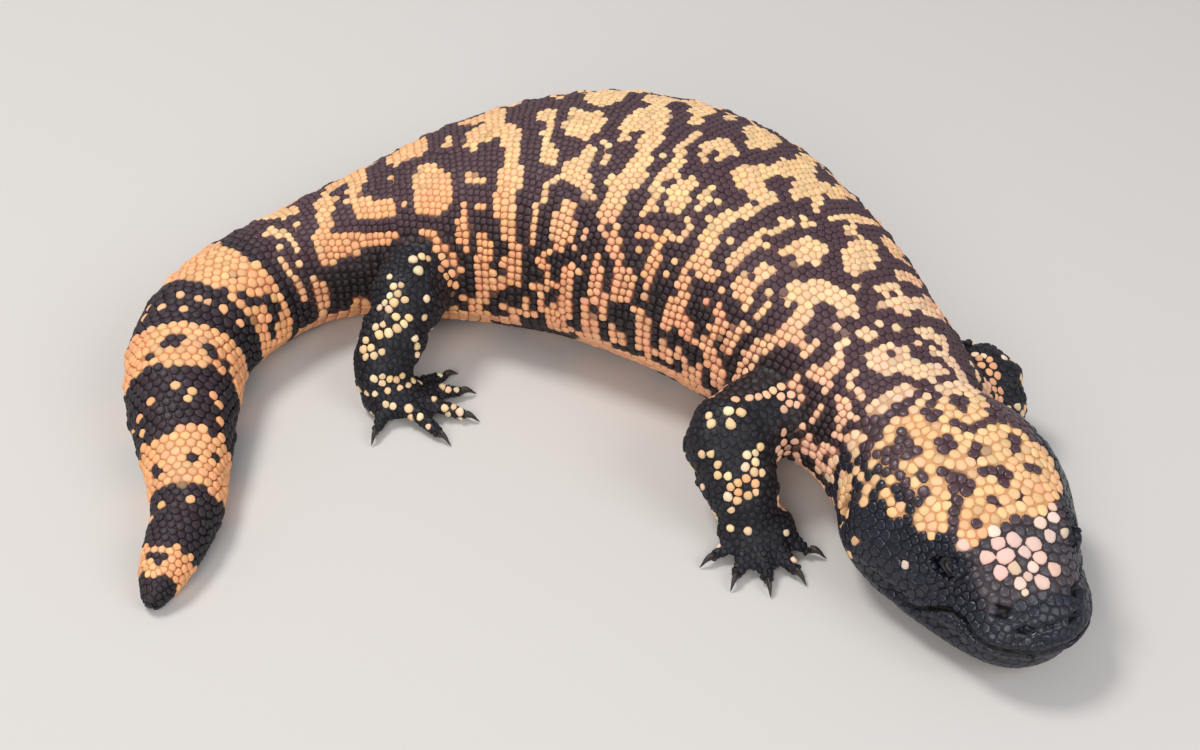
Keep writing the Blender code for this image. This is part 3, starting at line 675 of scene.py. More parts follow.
# Pale beads of the near hind leg and the near foreleg, in the same way.
LEG_BEADS = (
    (413, 260, 5), (422, 257, 4), (428, 259, 3), (418, 271, 6), (390, 277, 3), (394, 286, 4),
    (401, 285, 3), (398, 294, 4), (390, 296, 3), (405, 300, 4), (385, 303, 3), (394, 303, 5),
    (389, 309, 4), (380, 308, 3), (426, 299, 4), (396, 317, 4), (409, 318, 4), (424, 317, 3),
    (383, 324, 3), (376, 327, 4), (404, 324, 4), (397, 329, 5), (389, 333, 5), (379, 335, 5),
    (415, 338, 4), (417, 346, 4), (366, 340, 4), (364, 350, 5), (371, 348, 4), (382, 352, 3),
    (366, 357, 4), (374, 356, 4), (417, 355, 3), (374, 379, 4), (382, 376, 3), (382, 383, 3),
    (390, 379, 3), (396, 380, 4), (402, 376, 3), (400, 388, 3), (408, 385, 3), (413, 381, 3),
    (419, 383, 3), (421, 373, 3), (388, 391, 3), (367, 393, 3), (375, 394, 3), (360, 389, 3),
    (386, 404, 3), (393, 406, 3), (363, 411, 4), (373, 415, 4), (409, 409, 5), (411, 417, 4),
    (420, 417, 4), (434, 399, 3), (442, 387, 4), (448, 390, 3), (460, 388, 6), (443, 373, 2),
    (464, 377, 4), (445, 408, 4), (448, 414, 3), (454, 407, 3), (460, 412, 5), (468, 411, 5),
    (424, 428, 5),
)
ARM_BEADS = (
    (709, 416, 4), (729, 411, 5), (741, 413, 5), (711, 424, 5), (731, 424, 6), (702, 454, 4),
    (711, 454, 4), (760, 447, 4), (747, 455, 4), (755, 453, 3), (755, 462, 4), (745, 467, 4),
    (718, 465, 4), (718, 475, 4), (728, 476, 4), (754, 472, 4), (746, 479, 4), (762, 473, 3),
    (703, 487, 3), (738, 483, 4), (731, 487, 4), (755, 484, 4), (756, 492, 3), (738, 492, 4),
    (728, 497, 5), (748, 495, 4), (737, 500, 4), (684, 479, 3), (683, 492, 4), (690, 491, 4),
    (688, 499, 3), (696, 500, 3), (708, 507, 4), (713, 514, 4), (731, 510, 3), (731, 528, 4),
    (748, 531, 4), (701, 534, 3), (803, 531, 4), (786, 532, 3), (794, 560, 3), (786, 573, 4),
)
# The near elbow, where the pale beads are warmer.
ELBOW = (743, 487, 17)
# The near limbs end, in the picture, left of and below these places.
LIMB_EDGES = ((Region.ARM_RIGHT, 777, 400), (Region.LEG_RIGHT, 439, 242))
FAR_ARM_STRIPE = ((980, 362, 5, 990, 366, 7, 997, 378, 6, 999, 395, 5),)

# Dark marks on the light bands of the tail, and pale beads on its black ones:
# radius in millimetres, then distance along the spine and turn from the ridge.
TAIL_SPOTS = (
    (1.6, (101, -38), (101.5, -50)),
    (1.1, (104, -20)),
    (1.8, (37.5, -12), (37.5, -19)),
    (1.3, (35, 30), (36.5, 44)),
    (1.2, (40, -50), (38.5, -56)),
    (1.8, (74.5, 8), (74.8, 1)),
    (1.5, (73, -30), (72, -34)),
    (1.1, (70, -58), (66, -66)),
    (0.9, (71, 25)),
    (1.5, (8.5, 0), (9, 18)),
    (1.4, (107, -58), (108, -72)),
    (1.2, (105, -80), (103, -90)),
)
TAIL_BEADS = (
    (57.5, 0), (57.5, -19), (54.8, -12), (56.2, 30), (54.5, 50), (51.5, 54), (55, -56),
    (51, -50), (57.2, -48), (24, -14), (23, 30), (22.5, 55), (91.4, 10), (91.1, -5), (90.3, -21),
    (90.4, -35), (87.3, 20), (87.4, 0), (91.2, -52), (85.5, 50), (89.5, 44), (55.5, 75),
    (88, 68),
)

# Bands of the tail: start and end along the spine of each light one. Behind
# TAIL_END the bands rule, behind TAIL_ROOT the beads are the tail's, and past
# BELLY_TURN from the ridge the belly is plain.
TAIL_BANDS = ((5.2, 12.4), (29.6, 45.6), (66.2, 80.0), (96.8, 112.6))
TAIL_END = 116.0
TAIL_ROOT = 132.0
BELLY_TURN = 104.0


@dataclass(frozen=True)
class View:
    """The camera of the photograph, for marks that are placed in its frame."""

    place: tuple = (3.7, -349.0, 292.5)
    pitch: float = 50.0
    focal: float = 1600.0
    centre: tuple = (600.0, 375.0)

    def project(self, points: np.ndarray) -> np.ndarray:
        """Returns where each place lies across and down the picture.

        Args:
            points: Places in millimetres.

        Returns:
            Across and down, one row for each.
        """
        angle = math.radians(self.pitch)
        away = np.asarray(points, float) - np.array(self.place)
        up = away[:, 1] * math.cos(angle) + away[:, 2] * math.sin(angle)
        deep = away[:, 1] * math.sin(angle) - away[:, 2] * math.cos(angle)
        across = self.centre[0] + self.focal * away[:, 0] / deep
        return np.column_stack([across, self.centre[1] - self.focal * up / deep])

    def ray(self, across: float, down: float) -> Vector:
        """Returns the way a point of the picture lies from the camera.

        Args:
            across: Its place across the picture.
            down: Its place down the picture.

        Returns:
            A unit direction.
        """
        angle = math.radians(self.pitch)
        side = (across - self.centre[0]) / self.focal
        rise = (self.centre[1] - down) / self.focal
        ahead = rise * math.cos(angle) + math.sin(angle)
        return Vector((side, ahead, rise * math.sin(angle) - math.cos(angle))).normalized()

    def facing(self, points: np.ndarray, normals: np.ndarray) -> np.ndarray:
        """Returns how squarely each place faces the camera, one at most."""
        toward = unit(np.array(self.place) - np.asarray(points, float))
        return (toward * normals).sum(1)


def links_of(stops: np.ndarray) -> list[tuple]:
    """Returns each stop of a string with the next, or a lone one with itself."""
    return list(zip(stops, stops[1:])) or [(stops[0], stops[0])]


def discs_of(string: tuple) -> np.ndarray:
    """Returns the discs of a string, one in a row: across, down and radius."""
    return np.reshape(np.array(string, float), (-1, 3))


def disc_reach(at: np.ndarray, strings: tuple) -> np.ndarray:
    """Measures how far places are outside strings of overlapping discs.

    Args:
        at: Places across and down the picture.
        strings: Strings of discs.

    Returns:
        Distance outside the nearest edge, negative inside.
    """
    pairs = [pair for string in strings for pair in links_of(discs_of(string))]
    starts, ends = np.array(pairs).transpose(1, 0, 2)
    spans = ends - starts
    square = np.maximum((spans[:, :2] ** 2).sum(1), 1e-9)
    found = np.empty(len(at))
    for part in batches(len(at)):
        away = at[part, None, :] - starts[None, :, :2]
        f = np.clip((away * spans[None, :, :2]).sum(2) / square, 0.0, 1.0)
        gap = np.linalg.norm(away - f[:, :, None] * spans[None, :, :2], axis=2)
        found[part] = (gap - starts[:, 2] - f * spans[:, 2]).min(1)
    return found


def thin_path(strings: tuple, widest: float = 4.6, step: float = 6.0) -> np.ndarray:
    """Returns places along the strings that are about one bead wide.

    Args:
        strings: Strings of discs.
        widest: Greatest radius of such a string.
        step: Distance between two places.

    Returns:
        Places across and down the picture.
    """
    places = []
    for discs in map(discs_of, strings):
        if discs[:, 2].max() > widest:
            continue
        for start, end in links_of(discs[:, :2]):
            count = max(int(round(np.linalg.norm(end - start) / step)), 1)
            shares = np.arange(count + (len(discs) > 1)) / count
            places += [start + (end - start) * share for share in shares]
    return np.array(places)


@dataclass
class Markings:
    """Colours of the hide at any place on it."""

    axis: BodyAxis
    head: HeadForm
    view: View = View()

    def axis_normals(self, s: np.ndarray, turn: np.ndarray) -> np.ndarray:
        """Returns the plain body's outward normal at its own coordinates."""
        along = self.axis.place(s + 0.6, turn) - self.axis.place(s - 0.6, turn)
        round_way = self.axis.place(s, turn + 1.2) - self.axis.place(s, turn - 1.2)
        return unit(np.cross(along, round_way))

    def seen_twin(self, s: np.ndarray, turn: np.ndarray) -> tuple[np.ndarray, np.ndarray]:
        """Finds for each place one that the photograph shows.

        A place on the far side borrows the marks of the near side, a little
        shifted, so that the two sides are alike but not mirror images.

        Args:
            s: Distances along the spine.
            turn: Degrees round from the ridge.

        Returns:
            Where it or its twin lies in the picture, and its own place on the
            plain body.
        """
        on_skin = self.axis.place(s, turn)
        normal = self.axis_normals(s, turn)
        shown = self.view.facing(on_skin, normal) > 0.10
        drift = cloud(on_skin, 36.0, 21.0)
        slide = cloud(on_skin, 30.0, 31.0)
        other = self.axis.place(
            np.where(shown, s, np.clip(s + 4.0 + 7.0 * drift, 0.0, self.axis.length)),
            np.where(shown, turn, -np.abs(turn) + 8.0 * slide),
        )
        return self.view.project(other), on_skin

    def body_share(self, points: np.ndarray, soft: float) -> np.ndarray:
        """Finds how light the trunk and tail are.

        Args:
            points: Places in millimetres.
            soft: Width over which light turns into dark.

        Returns:
            Share of the light colour at each place.
        """
        s, turn = self.axis.coordinates(points)
        picture, on_skin = self.seen_twin(s, turn)
        wobble = 0.30 * cloud(on_skin, 4.2) + 0.2 * cloud(on_skin, 1.9, 7.0)
        light = disc_reach(picture, PATCHES + CROWN) / TRUNK_SCALE + wobble
        dark = disc_reach(picture, SPOTS + CROWN_SPOTS) / TRUNK_SCALE + 0.5 * wobble
        edge = 1.3 * cloud(on_skin, 7.5, 3.0) + wobble
        bands = np.full(len(s), 9.0)
        for start, end in TAIL_BANDS:
            bands = np.minimum(bands, np.abs(s - (start + end) / 2) - (end - start) / 2 + edge)
        tail = s < TAIL_END
        light = np.where(tail, bands, light)
        dark = np.where(tail, self.tail_reach(on_skin) + 0.5 * wobble, dark)
        belly = (np.abs(turn) > BELLY_TURN) & (s > TAIL_END)
        plain = np.minimum(light, -0.6 + 3.0 * cloud(on_skin, 11.0, 11.0))
        light = np.where(belly, plain, light)
        share = 1.0 - smooth_step(-soft, soft, light)
        return share * smooth_step(-soft, soft, dark)

    def tail_reach(self, points: np.ndarray) -> np.ndarray:
        """Returns how far each place is outside the nearest dark tail spot.

        Args:
            points: Places on the plain body.

        Returns:
            Distances, negative inside a spot.
        """
        places = []
        radii = []
        for radius, *stops in TAIL_SPOTS:
            for start, end in links_of(stops):
                f = np.linspace(0.0, 1.0, 6)
                s = start[0] + (end[0] - start[0]) * f
                turn = start[1] + (end[1] - start[1]) * f
                places.append(self.axis.place(s, turn))
                radii += [radius] * len(f)
        centres = np.concatenate(places)
        found = np.empty(len(points))
        for part in batches(len(points)):
            gap = points[part, None, :] - centres[None, :, :]
            found[part] = (np.linalg.norm(gap, axis=2) - np.array(radii)).min(1)
        return found

    def body_mix(self, points: np.ndarray, share: np.ndarray) -> np.ndarray:
        """Picks the body's light and dark colour by place and mixes them. The back's lighter tones
        are partly painted light from the sky above.

        Args:
            points: Places on the body.
            share: Share of the light colour at each.

        Returns:
            The mixed colours.
        """
        s, turn = self.axis.coordinates(points)
        turn = np.abs(turn)
        # Cream on the back, salmon and orange on the flank: partly the hide's own tone and partly
        # painted light, the back lit by the sky above.
        low = smooth_step(22.0, 72.0, turn + 12.0 * cloud(points, 22.0, 5.0))
        light = blend_tones(Tone.CREAM.value, Tone.SALMON.value, low)
        glow = smooth_step(0.05, 0.5, cloud(points, 26.0, 9.0))
        flush = 0.5 * glow * smooth_step(18.0, 45.0, turn)
        light = blend_tones(light, Tone.ORANGE.value, flush)
        hips = smooth_step(126, 136, s) * (1 - smooth_step(175, 210, s))
        flush = hips * (0.38 + 0.37 * smooth_step(10.0, 35.0, turn))
        light = blend_tones(light, Tone.ORANGE.value, flush)
        tail = 1.0 - smooth_step(112.0, 124.0, s)
        warm = smooth_step(5.0, 60.0, turn)
        tail_light = blend_tones(Tone.CREAM.value, Tone.ORANGE.value, 0.55 + 0.45 * warm)
        light = blend_tones(light, tail_light, tail)
        light = blend_tones(light, Tone.PINK.value, 0.30 * smooth_step(290.0, 335.0, s))
        # Plum dark on the back, near black on the flank: the back's lighter dark holds painted
        # sheen.
        dark = blend_tones(Tone.PLUM.value, Tone.SOOT.value, smooth_step(25.0, 80.0, turn))
        dark = blend_tones(dark, Tone.INK.value, 0.65 * tail)
        return blend_tones(dark, light, share)

    def head_share(self, points: np.ndarray, soft: float) -> np.ndarray:
        """Finds how light the head is.

        Args:
            points: Places in millimetres.
            soft: Width over which light turns into dark.

        Returns:
            Share of the light colour at each place.
        """
        wobble = 0.30 * cloud(points, 5.0, 2.0)
        picture = self.view.project(points)
        light = disc_reach(picture, CROWN + PATCHES) / CROWN_SCALE + wobble
        light = np.where(self.head.measure(points)[:, 2] < 15.0, 4.0, light)
        dark = disc_reach(picture, CROWN_SPOTS + SPOTS) / CROWN_SCALE + 0.4 * wobble
        return (1.0 - smooth_step(-soft, soft, light)) * smooth_step(-soft, soft, dark)

    def head_mix(self, points: np.ndarray, share: np.ndarray) -> np.ndarray:
        """Picks the head's light and dark colour by place and mixes them.

        Args:
            points: Places on the head.
            share: Share of the light colour at each.

        Returns:
            The mixed colours.
        """
        forward, out, _ = self.head.sides(points)
        glow = smooth_step(-0.2, 0.6, cloud(points, 12.0, 4.0))
        tone = blend_tones(Tone.BUTTER.value, Tone.ORANGE.value, 0.35 * glow)
        tone = blend_tones(tone, Tone.PINK.value, 0.45 * smooth_step(10.0, 2.0, forward))
        crown_edge = np.interp(forward, [0, 20, 44, 60], [22, 20, 13, 9])
        side = np.maximum(out - crown_edge, forward - 57.0)
        # The sides of the head and the snout's front take the black with the painted bluish sheen.
        dark = blend_tones(Tone.PLUM.value, Tone.BLUE_SHEEN_BLACK.value, smooth_step(-2.0, 2.0, side))
        grey = smooth_step(40, 45, forward) * (1 - smooth_step(55, 59, forward))
        dark = blend_tones(dark, Tone.SLATE.value, grey * (1 - smooth_step(11, 14, out)))
        return blend_tones(dark, tone, share)


@dataclass
class Skin:
    """One closed skin over the whole animal, just inside its solids."""

    voxel: float = 1.05
    swell: float = 0.25
    depth: float = 0.72
    smoothing: int = 14
    points: np.ndarray = field(init=False)
    normals: np.ndarray = field(init=False)
    region: np.ndarray = field(init=False)
    tree: BVHTree = field(init=False)
    near: KDTree = field(init=False)
    obj: bpy.types.Object = field(init=False)

    def gather(self) -> bpy.types.Object:
        """Joins merged and slightly swollen copies of the flesh into one object."""
        work = bmesh.new()
        for node in FLESH:
            part = bmesh.new()
            part.from_mesh(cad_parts[node].data)
            bmesh.ops.remove_doubles(part, verts=part.verts, dist=2e-6)
            part.normal_update()
            for vert in part.verts:
                vert.co += vert.normal * self.swell * MM
            mesh = bpy.data.meshes.new("copy")
            part.to_mesh(mesh)
            part.free()
            work.from_mesh(mesh)
            bpy.data.meshes.remove(mesh)
        return link_mesh(mesh_from(work, "hide_skin", smooth=False))

    def remesh(self, obj: bpy.types.Object) -> None:
        """Makes one even mesh of the joined copies.

        Args:
            obj: The joined copies, whose mesh is replaced.
        """
        step = obj.modifiers.new("whole", "REMESH")
        step.mode = "VOXEL"
        step.voxel_size = self.voxel * MM
        graph = bpy.context.evaluated_depsgraph_get()
        result = bpy.data.meshes.new_from_object(obj.evaluated_get(graph))
        obj.modifiers.clear()
        old = obj.data
        obj.data = result
        bpy.data.meshes.remove(old)

    def keep_outer(self, obj: bpy.types.Object) -> None:
        """Drops any small closed pocket that the remesh left inside.

        Args:
            obj: The skin's object.
        """
        work = bmesh.new()
        work.from_mesh(obj.data)
        unseen = set(work.verts)
        islands = []
        while unseen:
            front = [unseen.pop()]
            island = list(front)
            while front:
                vert = front.pop()
                for edge in vert.link_edges:
                    other = edge.other_vert(vert)
                    if other in unseen:
                        unseen.remove(other)
                        front.append(other)
                        island.append(other)
            islands.append(island)
        islands.sort(key=len)
        scraps = [vert for island in islands[:-1] for vert in island]
        bmesh.ops.delete(work, geom=scraps, context="VERTS")
        work.to_mesh(obj.data)
        work.free()

    def refine_head(self, obj: bpy.types.Object, head: HeadForm) -> None:
        """Halves the mesh over the face, where the folds are fine.

        Args:
            obj: The skin's object.
            head: Where the face lies.
        """
        work = bmesh.new()
        work.from_mesh(obj.data)
        middle = Vector(head.place(50.0, 0.0, 18.0) * MM)
        chosen = [edge for edge in work.edges if (edge.verts[0].co - middle).length < 29.0 * MM]
        bmesh.ops.subdivide_edges(work, edges=chosen, cuts=1, use_grid_fill=True)
        work.to_mesh(obj.data)
        work.free()

    @staticmethod
    def smooth(points: np.ndarray, edges: np.ndarray, rounds: int) -> np.ndarray:
        """Evens a surface without shrinking it, by pulls and pushes in turn.

        Args:
            points: The skin's points.
            edges: Pairs of joined points.
            rounds: How many times it is pulled and pushed.

        Returns:
            The moved points.
        """
        for pull in (0.52, -0.53) * rounds:
            points = points + pull * (mean_of_neighbours(points, edges) - points)
        return points

    @staticmethod
    def ease_neck(points: np.ndarray, edges: np.ndarray, head: HeadForm) -> np.ndarray:
        """Fills the crease behind the jaws, so that the head runs into the neck.

        Args:
            points: The skin's points.
            edges: Pairs of joined points.
            head: Where the head lies.

        Returns:
            The moved points.
        """
        forward, out, _ = head.sides(points)
        share = smooth_step(-17.0, -9.0, forward) * (1.0 - smooth_step(5.0, 12.0, forward))
        share = 0.5 * share * (1.0 - smooth_step(29.0, 33.0, out))
        for _ in range(150):
            points = points + share[:, None] * (mean_of_neighbours(points, edges) - points)
        return points

    def read(self, mesh: bpy.types.Mesh) -> tuple[np.ndarray, np.ndarray]:
        """Returns a mesh's points in millimetres and its vertex normals."""
        normals = np.empty(len(mesh.vertices) * 3)
        mesh.vertex_normals.foreach_get("vector", normals)
        return points_of(mesh), normals.reshape(-1, 3)

    def write(self, mesh: bpy.types.Mesh, points: np.ndarray) -> None:
        """Stores points in millimetres in a mesh."""
        mesh.vertices.foreach_set("co", (points * MM).ravel())
        mesh.update()

    def build(self, head: HeadForm) -> bpy.types.Object:
        """Makes the skin and keeps what the beads need to know about it.

        Args:
            head: Where the folds of the face lie.

        Returns:
            The skin's object, which stands for every node of flesh.
        """
        obj = self.gather()
        self.remesh(obj)
        self.keep_outer(obj)
        mesh = obj.data
        edges = np.empty(len(mesh.edges) * 2, np.int64)
        mesh.edges.foreach_get("vertices", edges)
        edges = edges.reshape(-1, 2)
        points = self.smooth(points_of(mesh), edges, self.smoothing)
        self.write(mesh, self.ease_neck(points, edges, head))
        self.refine_head(obj, head)
        points, normals = self.read(mesh)
        points = points - normals * (self.depth + self.swell)
        points[:, 2] = np.maximum(points[:, 2], 0.35)
        self.write(mesh, points)
        self.write(mesh, Face(head).fold(*self.read(mesh)))
        mesh.polygons.foreach_set("use_smooth", [True] * len(mesh.polygons))
        self.points, self.normals = self.read(mesh)
        self.region = self.find_regions(self.points)
        faces = [list(face.vertices) for face in mesh.polygons]
        self.tree = BVHTree.FromPolygons(self.points.tolist(), faces)
        self.near = tree_of(self.points)
        self.obj = obj
        return obj

    def find_regions(self, points: np.ndarray) -> np.ndarray:
        """Returns the region of each place, by the nearest node of flesh.

        Args:
            points: Places near the skin.

        Returns:
            One region for each.
        """
        corners = [corners_of(node) for node in FLESH]
        owners = []
        for node, part in zip(FLESH, corners):
            owners += [region_of(node)] * len(part)
        tree = tree_of(np.concatenate(corners))
        return np.array([owners[tree.find(Vector(p))[1]] for p in points], dtype=object)

    def region_at(self, places: np.ndarray) -> np.ndarray:
        """Returns the region of the skin's point nearest to each place."""
        return self.region[[self.near.find(Vector(p))[1] for p in places]]

    def settle(self, places: np.ndarray) -> tuple[np.ndarray, np.ndarray, np.ndarray]:
        """Drops places onto the skin.

        Args:
            places: Places near the skin.

        Returns:
            The nearest places on the skin, the skin's normals there, and how
            far each place had to move.
        """
        found = np.empty_like(places)
        normals = np.empty_like(places)
        moved = np.empty(len(places))
        for i, place in enumerate(places):
            spot, _, _, distance = self.tree.find_nearest(Vector(place))
            found[i] = spot
            moved[i] = distance
            normals[i] = self.normals[self.near.find(spot)[1]]
        return found, unit(normals), moved


@dataclass
class Face:
    """Folds, lips, nostrils, sockets and ear hollows of the head's skin."""

    head: HeadForm
    lip_depth: float = 1.5
    lip_width: float = 0.62
    corner_folds: tuple = ((-3.0, 2.0, 7.0, 0.7), (-5.0, -1.6, 6.0, 0.6), (-1.0, 4.2, 8.0, 0.5))

    def fold(self, points: np.ndarray, normals: np.ndarray) -> np.ndarray:
        """Presses the folds of the face into the skin.

        Args:
            points: The skin's points.
            normals: The skin's normals.

        Returns:
            The moved points.
        """
        forward, out, up = self.head.sides(points)
        face = (forward > -6.0) & (forward < 72.0) & (out < 34.0)
        push = np.zeros(len(points))
        mouth = up - self.head.mouth.at(forward)[:, 0]
        corner = self.head.mouth_corner
        gape = smooth_step(corner - 2.0, corner + 5.0, forward)
        push -= gape * self.lip_depth * np.exp(-((mouth / self.lip_width) ** 2))
        push += gape * 0.40 * np.exp(-(((mouth - 1.9) / 1.1) ** 2))
        push += gape * 0.50 * np.exp(-(((mouth + 2.1) / 1.3) ** 2))
        for back, rise, length, deep in self.corner_folds:
            run = np.clip(1.0 - np.abs(forward - corner - back) / length, 0.0, 1.0)
            slant = mouth - rise - 0.25 * (forward - corner)
            push -= deep * run * np.exp(-((slant / 0.8) ** 2))
        for centre, size, depth in self.dents():
            gap = ((forward - centre[0]) / size[0]) ** 2
            gap = gap + ((out - centre[1]) / size[1]) ** 2 + ((up - centre[2]) / size[2]) ** 2
            push += depth * np.exp(-(gap**1.5))
        ring = np.hypot(forward - self.head.eye[0], up - self.head.eye[2])
        under = smooth_step(-1.0, -3.5, up - self.head.eye[2]) * smooth_step(4.0, 5.0, ring)
        under = under * (1.0 - smooth_step(9.0, 11.0, ring)) * smooth_step(12.0, 14.0, out)
        push -= 0.30 * under * (0.5 + 0.5 * np.cos(2 * math.pi * ring / 1.9))
        return points + normals * (push * face)[:, None]

    def dents(self) -> tuple:
        """Lists the soft presses and swells: centre, size and depth of each."""
        return (
            (self.head.nostril, (1.9, 2.4, 1.35), -2.0),
            (self.head.nostril, (3.2, 3.2, 2.5), 0.4),
            (self.head.snout_slit, (2.2, 2.1, 0.75), -1.5),
            (self.head.snout_slit, (3.6, 3.2, 1.7), 0.3),
            # Across the tip of the snout.
            ((65.0, 0.0, 19.4), (3.0, 5.5, 0.6), -0.7),
            # The socket, the brow over it and the rim below it.
            (self.head.eye, (3.5, 3.6, 2.4), -2.3),
            ((44.5, 13.2, 29.0), (6.0, 3.5, 1.8), 0.9),
            ((44.0, 16.6, 21.6), (4.6, 3.0, 1.4), 0.5),
            # The ear and the swell behind it.
            (self.head.ear, (1.9, 4.5, 3.4), -1.7),
            ((11.0, 27.0, 19.0), (2.2, 5.0, 4.5), 0.5),
            # Between eye and nostril.
            ((52.0, 12.5, 21.0), (2.8, 3.4, 2.0), -0.6),
        )


@dataclass
class Seeds:
    """Roots of the beads: where each stands and how it is shaped."""

    place: np.ndarray
    normal: np.ndarray
    region: np.ndarray
    pitch: np.ndarray
    rise: np.ndarray
    sharp: np.ndarray
    fill: np.ndarray

    def take(self, chosen: np.ndarray) -> "Seeds":
        """Returns only the chosen seeds."""
        return Seeds(*(getattr(self, item.name)[chosen] for item in fields(self)))

    def add(self, other: "Seeds") -> "Seeds":
        """Returns these seeds with others after them."""
        names = [item.name for item in fields(self)]
        return Seeds(*(np.concatenate([getattr(self, n), getattr(other, n)]) for n in names))


@dataclass
class Planter:
    """Sets the beads' roots on the skin, in rows or evenly spread."""

    axis: BodyAxis
    head: HeadForm
    skin: Skin
    block: float = 9.0
    cell: float = 5.0
    draw: np.random.Generator = field(default_factory=lambda: np.random.default_rng(SEED))

    def gaps(self, s: float, turn: np.ndarray) -> tuple[np.ndarray, np.ndarray]:
        """Returns the wanted gap between rows, and between beads of a row.

        Args:
            s: Distance along the spine.
            turn: Degrees round from the ridge.

        Returns:
            The two gaps at each turn.
        """
        keys = [-180, -115, -75, -35, 0, 35, 75, 115, 180]
        across = np.interp(turn, keys, [3.5, 3.1, 2.1, 2.05, 2.1, 2.15, 2.25, 3.1, 3.5])
        around = np.interp(turn, keys, [3.6, 3.1, 2.1, 2.1, 2.15, 2.2, 2.3, 3.1, 3.6])
        tail = float(1.0 - smooth_step(106.0, 128.0, s))
        tip = float(np.interp(s, [0, 12, 45], [0.62, 0.80, 1.0]))
        across = across * (1 - tail) + 2.3 * tip * tail
        around = around * (1 - tail) + 2.95 * tip * tail
        return across, around

    def ring(self, s: float, turn: np.ndarray, offset: float) -> np.ndarray:
        """Returns the turns of one row's beads, counted out from the ridge.

        Args:
            s: The row's distance along the spine.
            turn: Turns that measure the row.
            offset: Share of a bead that the row starts late.

        Returns:
            The turn of each bead.
        """
        place = self.axis.place(s, turn)
        _, around = self.gaps(s, turn)
        step = np.linalg.norm(np.diff(place, axis=0), axis=1) / around[1:]
        count = np.concatenate([[0.0], np.cumsum(step)])
        count -= np.interp(0.0, turn, count)
        marks = np.arange(math.ceil(count[0] - offset), math.floor(count[-1] - offset) + 1) + offset
        marks = marks + self.draw.normal(0.0, 0.055, len(marks))
        return np.interp(marks, count, turn)

    def lay(self) -> np.ndarray:
        """Lays staggered rows of roots in the body's own coordinates.

        The rows run in blocks along the spine. A block holds two to six rows
        at each place round the body, by how much the bend stretches it there.

        Returns:
            Distance along the spine, turn and pitch of each root.
        """
        turn = np.linspace(-179.9, 179.9, 721)
        found = []
        s = 0.9
        count = 0
        while s < self.axis.length - 0.5:
            size = float(np.interp(s, [0, 12, 45], [5.6, 7.2, self.block]))
            middle = s + size / 2
            along = self.axis.place(middle + 1, turn) - self.axis.place(middle - 1, turn)
            stretch = np.linalg.norm(along, axis=1) / 2
            across, around = self.gaps(middle, turn)
            ragged = 0.30 * cloud(self.axis.place(middle, turn), 9.0, 13.0)
            number = np.clip(np.round(size * stretch / across + ragged), 2, 6).astype(int)
            for rows in (2, 3, 4, 5, 6):
                for i in range(rows):
                    at = s + size * (i + 0.5) / rows
                    angle = self.ring(at, turn, 0.5 * ((count * rows + i) % 2))
                    spot = np.clip(np.searchsorted(turn, angle), 0, len(turn) - 1)
                    keep = number[spot] == rows
                    spot = spot[keep]
                    pitch = np.maximum(around[spot], (size * stretch / rows)[spot])
                    found.append(np.column_stack([np.full(len(spot), at), angle[keep], pitch]))
            s += size
            count += 1
        return np.concatenate(found)

    def rows(self) -> Seeds:
        """Sets the rows of beads round the trunk and tail."""
        along, turn, pitch = self.lay().T
        along = along + self.draw.normal(0.0, 0.16, len(along))
        along += 0.5 * cloud(self.axis.place(along, turn), 17.0, 6.0)
        spot, normal, moved = self.skin.settle(self.axis.place(along, turn))
        region = np.where(along < TAIL_ROOT, Region.TAIL, Region.TRUNK)
        keep = (moved < 1.9) & within(self.skin.region_at(spot), Region.TAIL, Region.TRUNK)
        flank = smooth_step(25.0, 70.0, np.abs(turn))
        belly = smooth_step(98.0, 116.0, np.abs(turn))
        tail = 1.0 - smooth_step(112.0, 130.0, along)
        rise = (0.40 + 0.34 * flank) * (1.0 - 0.60 * belly)
        rise = rise + 0.22 * tail
        rise = rise * (1.0 - 0.10 * tail) * np.interp(along, [0, 10, 40], [0.55, 0.8, 1.0])
        sharp = 9.0 - 3.4 * flank * (1 - tail) + 4.0 * belly - 1.0 * tail
        fill = 0.985 - 0.05 * flank * (1 - tail) + 0.03 * belly - 0.02 * tail
        seeds = Seeds(spot, normal, region, pitch, rise, sharp, fill)
        return self.thin_out(seeds.take(keep))

    def thin_out(self, seeds: Seeds) -> Seeds:
        """Drops a seed that came out too near an earlier one.

        Args:
            seeds: All seeds of the rows.

        Returns:
            The seeds that stay.
        """
        tree = tree_of(seeds.place)
        keep = np.ones(len(seeds.place), bool)
        for i, place in enumerate(seeds.place):
            for _, j, _ in tree.find_range(Vector(place), 0.52 * float(seeds.pitch[i])):
                if j < i and keep[j]:
                    keep[i] = False
        return seeds.take(keep)

    def hold(self, marks: tuple, regions: tuple, view: View, grow: float) -> Seeds:
        """Sets seeds where single plates or beads lie in the picture.

        Args:
            marks: Rows of across, down and radius in the picture.
            regions: Regions of the skin that they may land on.
            view: The picture's camera.
            grow: Pitch of a seed as a share of its mark's width.

        Returns:
            The seeds that land on one of the regions.
        """
        found = []
        for across, down, radius in marks:
            spot = self.skin.tree.ray_cast(Vector(view.place), view.ray(across, down))[0]
            if spot is None:
                continue
            near = self.skin.near.find(spot)[1]
            if self.skin.region[near] not in regions:
                continue
            if all((spot - other).length > 1.5 for other, _, _ in found):
                found.append((spot, near, 2 * radius / BEAD_SCALE * grow))
        place, near, pitch = (np.array(part) for part in zip(*found))
        region = self.skin.region[near]
        rise, sharp, fill = self.style(place, region, pitch)
        stand = 0.12 if Region.HEAD in regions else 0.34
        rise = np.maximum(rise, stand * pitch)
        return Seeds(place, self.skin.normals[near], region, pitch, rise, sharp, fill)

